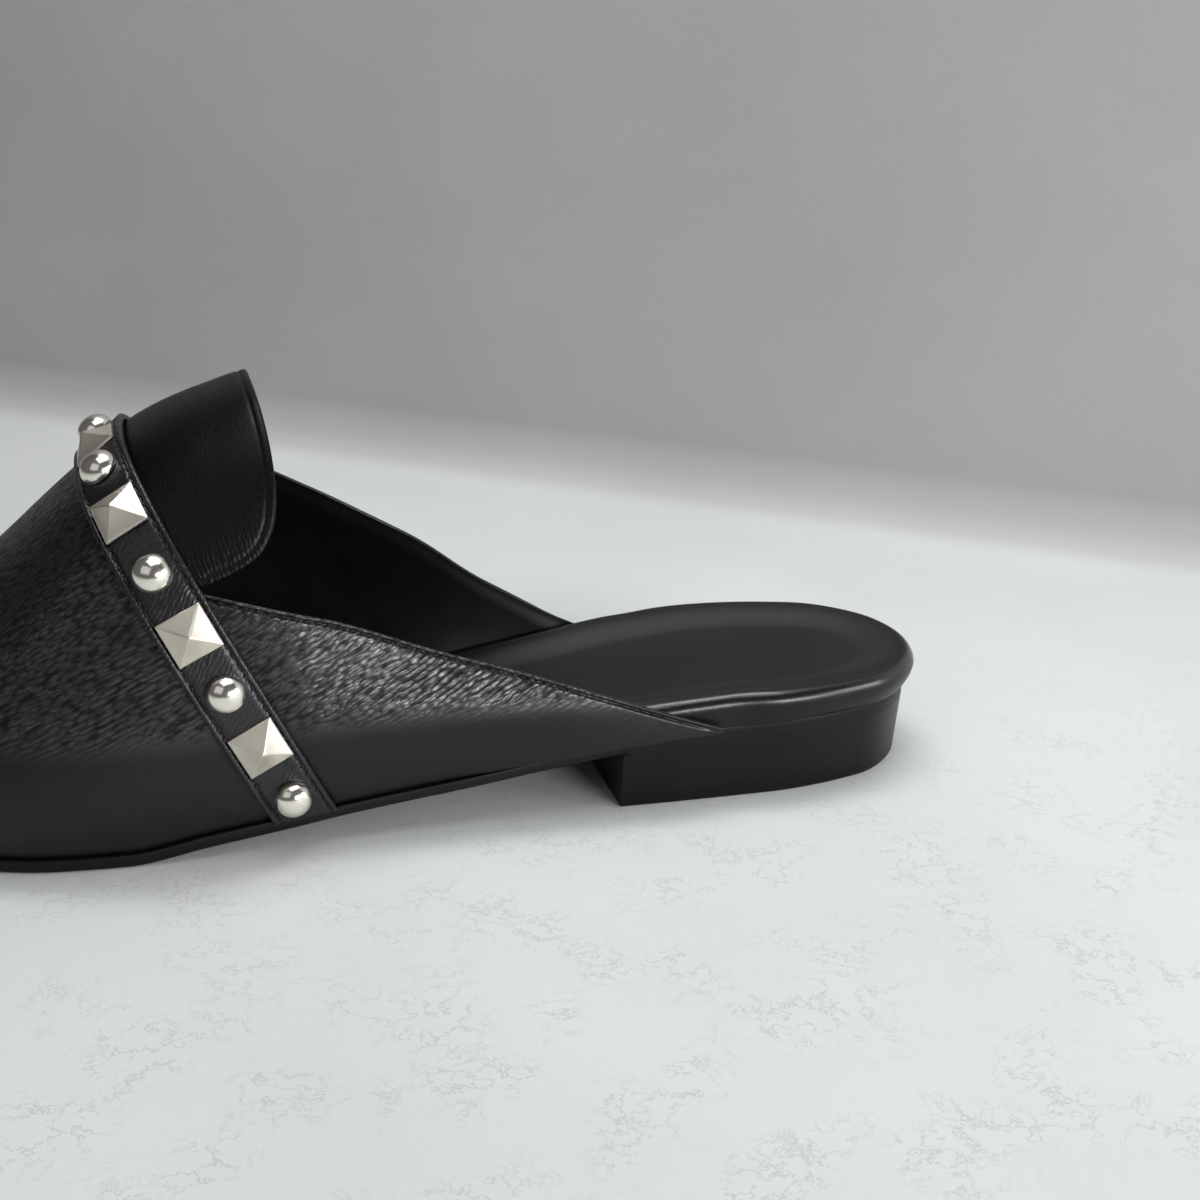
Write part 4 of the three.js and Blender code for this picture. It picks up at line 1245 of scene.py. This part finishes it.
def fraction(label, meaning, default):
    """A setting from 0 to 1."""
    limits = {"min": 0.0, "max": 1.0, "subtype": "FACTOR"}
    return bpy.props.FloatProperty(name=label, description=meaning, default=default, **limits)


def tint(label, default):
    """A setting that is a colour, written as sRGB hex."""
    return bpy.props.StringProperty(name=label, description=label + " colour, sRGB hex", default=default)


class LoaferSizes(bpy.types.PropertyGroup):
    edge_round: millimetres("Edge rounding", "Rounding of the topline's cut edge", 0.3)
    edge_skive: millimetres("Skive", "How much the wall thins at the topline", 0.8)
    edge_turn: millimetres("Turned edge", "Leather turned in over the topline", 4.4)
    groove_drop: millimetres("Groove drop", "Stitched groove below the topline's fold", 1.1)
    groove_width: millimetres("Groove width", "Half width of a stitched groove", 0.36)
    groove_depth: millimetres("Groove depth", "Depth of a stitched groove", 0.45)
    bead_height: millimetres("Bead height", "How far a turned edge stands proud", 0.22)
    tongue_stitch: millimetres("Tongue stitch", "Stitching inside the tongue's edge", 1.9)
    strap_stitch: millimetres("Strap stitch", "Stitching inside the strap's edges", 1.35)
    stitch_pitch: millimetres("Stitch pitch", "From one stitch to the next", 2.5)
    stitch_length: millimetres("Stitch length", "Length of one stitch", 1.8)
    stitch_thick: millimetres("Thread", "Thickness of the thread", 0.45)
    dish_depth: millimetres("Dish", "Depth of the footbed's dished seat", 2.4)
    dish_slope: millimetres("Dish slope", "Width of the slope into the dish", 9.0)
    bed_band: millimetres("Band", "From the rim's edge to where the dish starts", 5.5)
    bed_round: millimetres("Rim rounding", "Rounding of the footbed's rim", 3.0)


class LoaferLook(bpy.types.PropertyGroup):
    leather_dark: tint("Leather, dark", "#060607")
    leather_light: tint("Leather, light", "#0b0b0d")
    leather_roughness: fraction("Leather roughness", "Mean roughness of the grained leather", 0.32)
    grain_length: millimetres("Grain length", "Long way of a grain cell", 2.0)
    grain_width: millimetres("Grain width", "Short way of a grain cell", 0.76)
    grain_slant: bpy.props.FloatProperty(
        name="Grain slant", description="Degrees that the cells rise towards the heel", default=26.0
    )
    grain_depth: fraction("Grain depth", "Strength of the grain's relief", 0.9)
    lining_colour: tint("Lining", "#0c0b0b")
    # Paler than the calf: the turned edge's own leather with a painted sheen.
    turned_sheen_colour: tint("Turned edge", "#17181a")
    footbed_dark: tint("Footbed, dark", "#070707")
    footbed_light: tint("Footbed, light", "#0c0c0c")
    # Paler tone of the seat's slope: partly wear, partly painted sheen.
    footbed_rub_and_sheen: tint("Footbed, rubbed", "#2b2929")
    footbed_roughness: fraction("Footbed roughness", "Roughness where the foot goes", 0.62)
    rim_roughness: fraction("Rim roughness", "Roughness round the burnished rim", 0.2)
    sole_colour: tint("Sole edge", "#0a0a0b")
    heel_colour: tint("Heel", "#0a0a0b")
    stud_colour: tint("Domes", "#f7f2e8")
    pyramid_colour: tint("Pyramids", "#dcd5c8")
    stud_roughness: fraction("Stud roughness", "Polish of the studs", 0.17)
    thread_colour: tint("Thread", "#060606")
    floor_colour: tint("Floor", "#dadcda")
    mark_colour: tint("Floor marks", "#c3c5c1")
    wall_colour: tint("Wall", "#adacaa")


class SHOE_OT_sole(bpy.types.Operator):
    """Makes the outsole and the heel block"""

    bl_idname = "loafer.sole"
    bl_label = "Sole and heel"

    def execute(self, context):
        make_outsole(context.scene.loafer_look)
        make_heel(context.scene.loafer_look)
        return {"FINISHED"}


class SHOE_OT_footbed(bpy.types.Operator):
    """Makes the padded footbed"""

    bl_idname = "loafer.footbed"
    bl_label = "Footbed"

    def execute(self, context):
        make_footbed(context.scene.loafer_sizes, context.scene.loafer_look)
        return {"FINISHED"}


class SHOE_OT_upper(bpy.types.Operator):
    """Makes vamp and quarters with the stitching along the topline"""

    bl_idname = "loafer.upper"
    bl_label = "Upper"

    def execute(self, context):
        sizes, look = context.scene.loafer_sizes, context.scene.loafer_look
        for name, line in zip(("outer", "inner"), make_upper(sizes, look)):
            stitch_line(name + "_topline_stitches", *line, sizes, look, "upper")
        return {"FINISHED"}


class SHOE_OT_tongue(bpy.types.Operator):
    """Makes the standing tongue"""

    bl_idname = "loafer.tongue"
    bl_label = "Tongue"

    def execute(self, context):
        make_tongue(context.scene.loafer_sizes, context.scene.loafer_look)
        return {"FINISHED"}


class SHOE_OT_strap(bpy.types.Operator):
    """Makes the saddle strap with its stitching"""

    bl_idname = "loafer.strap"
    bl_label = "Strap"

    def execute(self, context):
        sizes, look = context.scene.loafer_sizes, context.scene.loafer_look
        for name, line in zip(("back", "front"), make_strap(sizes, look)):
            stitch_line("strap_" + name + "_stitches", *line, sizes, look, "strap")
        return {"FINISHED"}


class SHOE_OT_studs(bpy.types.Operator):
    """Sets domes and pyramids along the strap"""

    bl_idname = "loafer.studs"
    bl_label = "Studs"

    def execute(self, context):
        make_studs(context.scene.loafer_look)
        return {"FINISHED"}


class SHOE_OT_stage(bpy.types.Operator):
    """Makes the floor, the wall, the lights and the camera"""

    bl_idname = "loafer.stage"
    bl_label = "Stage"

    def execute(self, context):
        make_stage(context.scene.loafer_look)
        return {"FINISHED"}


class SHOE_PT_panel(bpy.types.Panel):
    bl_label = "Backless loafer"
    bl_idname = "SHOE_PT_panel"
    bl_space_type = "VIEW_3D"
    bl_region_type = "UI"
    bl_category = "Loafer"

    def draw(self, context):
        for operator in OPERATORS:
            self.layout.operator(operator.bl_idname)
        for group in (context.scene.loafer_sizes, context.scene.loafer_look):
            column = self.layout.column(align=True)
            for name in group.__annotations__:
                column.prop(group, name)


# Stage. The camera's angles are in degrees, its distance and target in millimetres on the shoe's own lines.
CAMERA_AZIMUTH = -16.996
CAMERA_ELEVATION = 20.431
CAMERA_ROLL = 1.942
CAMERA_DISTANCE = 379.0
CAMERA_TARGET = (-77.222, 0.0, 39.176)
# Two points of the line where the floor meets the wall, and the radius of the cove there, metres.
WALL_LINE = ((0.0, 0.2865), (0.23, 0.1195))
COVE = 0.016
LIGHT_TARGET = (0.0, 0.0, 0.03)
# Place and target in metres, width and height in metres, watts, colour.
LIGHTS = {
    "front_window": ((0.44, -0.87, 0.26), LIGHT_TARGET, (0.5, 0.18), 5.7, "#fafcff"),
    "side_window": ((0.84, -0.48, 0.3), LIGHT_TARGET, (0.42, 0.36), 3.1, "#fafcff"),
    "left_card": ((-0.6, -0.6, 0.6), LIGHT_TARGET, (0.8, 0.6), 0.7, "#ffffff"),
    "ceiling_softbox": ((0.05, -0.1, 1.1), LIGHT_TARGET, (0.9, 0.7), 3.7, "#fbfdff"),
    "rim_strip": ((0.1, 0.12, 0.7), (0.05, 0.0, 0.03), (0.5, 0.12), 2.0, "#fbfdff"),
}


def camera_axes():
    """The camera's directions to the right, up and back, from its angles."""
    a, e, r = (math.radians(v) for v in (CAMERA_AZIMUTH, CAMERA_ELEVATION, CAMERA_ROLL))
    back = Vector((math.sin(a) * math.cos(e), -math.cos(a) * math.cos(e), math.sin(e)))
    right = Vector((math.cos(a), math.sin(a), 0))
    up = back.cross(right)
    return math.cos(r) * right + math.sin(r) * up, -math.sin(r) * right + math.cos(r) * up, back


def place_light(name, spot, target, size, power, colour):
    """A rectangular light that looks at its target."""
    data = bpy.data.lights.new(name, "AREA")
    data.shape = "RECTANGLE"
    data.size, data.size_y = size
    data.energy = power
    data.color = linear(colour)[:3]
    light = link_object(name, data)
    light.location = spot
    light.rotation_mode = "QUATERNION"
    light.rotation_quaternion = (Vector(target) - Vector(spot)).to_track_quat("-Z", "Y")


def wall_frame():
    """Directions along and away from the wall's foot, and a point on it."""
    start, end = (Vector((*point, 0)) for point in WALL_LINE)
    along = (end - start).normalized()
    return along, Vector((-along.y, along.x, 0)), start


def room_plaster(name, look):
    """Pale trowelled plaster, greyer on the wall: slow clouds, a fine tooth and a few specks."""
    material, tree, shader, coords = new_material(name)
    _, away, start = wall_frame()
    place_of = add(tree, "SeparateXYZ", {"Vector": coords}).outputs
    towards = add(tree, "VectorMath", {0: coords}, operation="DOT_PRODUCT", in_1=tuple(away)).outputs["Value"]
    passed = add(tree, "Math", {0: towards}, operation="SUBTRACT", in_1=start.dot(away))
    run = add(tree, "Math", {0: passed, 1: place_of["Z"]}, operation="ADD")
    cove = {"interpolation_type": "SMOOTHSTEP", "in_From_Min": -0.018, "in_From_Max": 0.02}
    climb = add(tree, "MapRange", {"Value": run}, **cove)
    cloud = add(tree, "TexNoise", {"Vector": coords}, in_Scale=0.009 * PER_MM, in_Detail=4.0)
    tooth = add(tree, "TexNoise", {"Vector": coords}, in_Scale=0.42 * PER_MM, in_Detail=5.0)
    crazed = {"in_Scale": 0.15 * PER_MM, "in_Detail": 6.0, "in_Roughness": 0.65}
    veins = add(tree, "TexNoise", {"Vector": coords}, **crazed)
    patch = add(tree, "TexNoise", {"Vector": coords}, in_Scale=0.055 * PER_MM, in_Detail=4.0)
    # Thin scuffs run where the veins cross their middle value, in patches of the floor near the shoe.
    offset = add(tree, "Math", {0: veins}, operation="SUBTRACT", in_1=0.5)
    apart = add(tree, "Math", {0: offset}, operation="ABSOLUTE")
    thin = {"in_From_Min": 0.004, "in_From_Max": 0.02, "in_To_Min": 1.0, "in_To_Max": 0.0}
    line = add(tree, "MapRange", {"Value": apart}, **thin)
    where = add(tree, "MapRange", {"Value": patch}, in_From_Min=0.45, in_From_Max=0.6)
    near = add(tree, "MapRange", {"Value": place_of["Y"]}, in_From_Min=0.05, in_From_Max=-0.09)
    scuffed = add(tree, "Math", {0: near, 1: where}, operation="MULTIPLY")
    marks = add(tree, "Math", {0: line, 1: scuffed}, operation="MULTIPLY")
    tones = []
    for colour in (look.floor_colour, look.wall_colour):
        stops = [(0.35, linear(colour, 0.95)), (0.65, linear(colour, 1.03))]
        tones.append(add(tree, "ValToRGB", {"Fac": cloud}, stops=stops))
    tone = add(tree, "Mix", {0: climb, 6: tones[0], 7: tones[1]}, data_type="RGBA").outputs[2]
    bump = add(tree, "Bump", {"Height": tooth}, in_Strength=0.15, in_Distance=0.0005)
    marked = add(tree, "Mix", {0: marks, 6: tone}, data_type="RGBA", in_7=linear(look.mark_colour)).outputs[2]
    give(tree, shader, {"Base Color": marked, "Normal": bump}, in_Roughness=0.7, in_Specular_IOR_Level=0.2)
    # Seen from behind, the wall is open, so that the shoe can be looked at from every side.
    facing = add(tree, "NewGeometry").outputs["Backfacing"]
    mixed = add(tree, "MixShader", {0: facing, 1: shader, 2: add(tree, "BsdfTransparent")})
    give(tree, tree.nodes["Material Output"], {"Surface": mixed})
    return material


def make_room(look):
    """A flat floor that runs up into the wall in a soft cove."""
    along, away, start = wall_frame()
    turns = [math.radians(5 * k) for k in range(19)]
    section = [(-5.0, 0.0), (-0.4, 0.0), (-0.05, 0.0)]
    section += [(COVE * math.sin(t), COVE * (1 - math.cos(t))) for t in turns] + [(COVE, 0.5), (COVE, 3.0)]
    ends = [start - along * 3, start + along * 3]
    points = [end + away * out + Vector((0, 0, up)) for out, up in section for end in ends]
    faces = [(2 * k, 2 * k + 1, 2 * k + 3, 2 * k + 2) for k in range(len(section) - 1)]
    mesh = bpy.data.meshes.new("room")
    mesh.from_pydata([tuple(p) for p in points], [], faces)
    mesh.materials.append(material_once(room_plaster, "trowelled_plaster", look))
    mesh.shade_smooth()
    return link_object("room", mesh)


def make_camera():
    """A camera with a 50 mm lens, set where the photograph was taken from."""
    right, up, back = camera_axes()
    data = bpy.data.cameras.new("camera")
    data.lens, data.sensor_width = 50.0, 36.0
    data.clip_start, data.clip_end = 0.02, 20.0
    camera = link_object("camera", data)
    camera.rotation_mode = "QUATERNION"
    camera.rotation_quaternion = Matrix((right, up, back)).transposed().to_quaternion()
    camera.location = Vector(place(CAMERA_TARGET)) + back * (CAMERA_DISTANCE / 1000)
    bpy.context.scene.camera = camera


def make_stage(look):
    """Room, camera, lights and the dim light of the world."""
    make_camera()
    room = make_room(look)
    world = bpy.data.worlds.new("studio")
    world.use_nodes = True
    background = world.node_tree.nodes["Background"]
    background.inputs["Color"].default_value = linear("#e8e8e8")
    background.inputs["Strength"].default_value = 0.13
    bpy.context.scene.world = world
    # A photographer's print contrast: black leather stays black beside the pale floor.
    bpy.context.scene.view_settings.view_transform = "Standard"
    for name, light in LIGHTS.items():
        place_light(name, *light)


OPERATORS = [
    SHOE_OT_sole,
    SHOE_OT_footbed,
    SHOE_OT_upper,
    SHOE_OT_tongue,
    SHOE_OT_strap,
    SHOE_OT_studs,
    SHOE_OT_stage,
]
CLASSES = [LoaferSizes, LoaferLook, *OPERATORS, SHOE_PT_panel]


def register():
    """Tells Blender the classes and gives a scene its settings."""
    for cls in CLASSES:
        bpy.utils.register_class(cls)
    bpy.types.Scene.loafer_sizes = bpy.props.PointerProperty(type=LoaferSizes)
    bpy.types.Scene.loafer_look = bpy.props.PointerProperty(type=LoaferLook)


def unregister():
    """Takes back what register did."""
    del bpy.types.Scene.loafer_look
    del bpy.types.Scene.loafer_sizes
    for cls in reversed(CLASSES):
        bpy.utils.unregister_class(cls)


def main():
    """Makes every piece in order."""
    register()
    for operator in OPERATORS:
        group, name = operator.bl_idname.split(".")
        getattr(getattr(bpy.ops, group), name)()


if __name__ == "__main__":
    main()
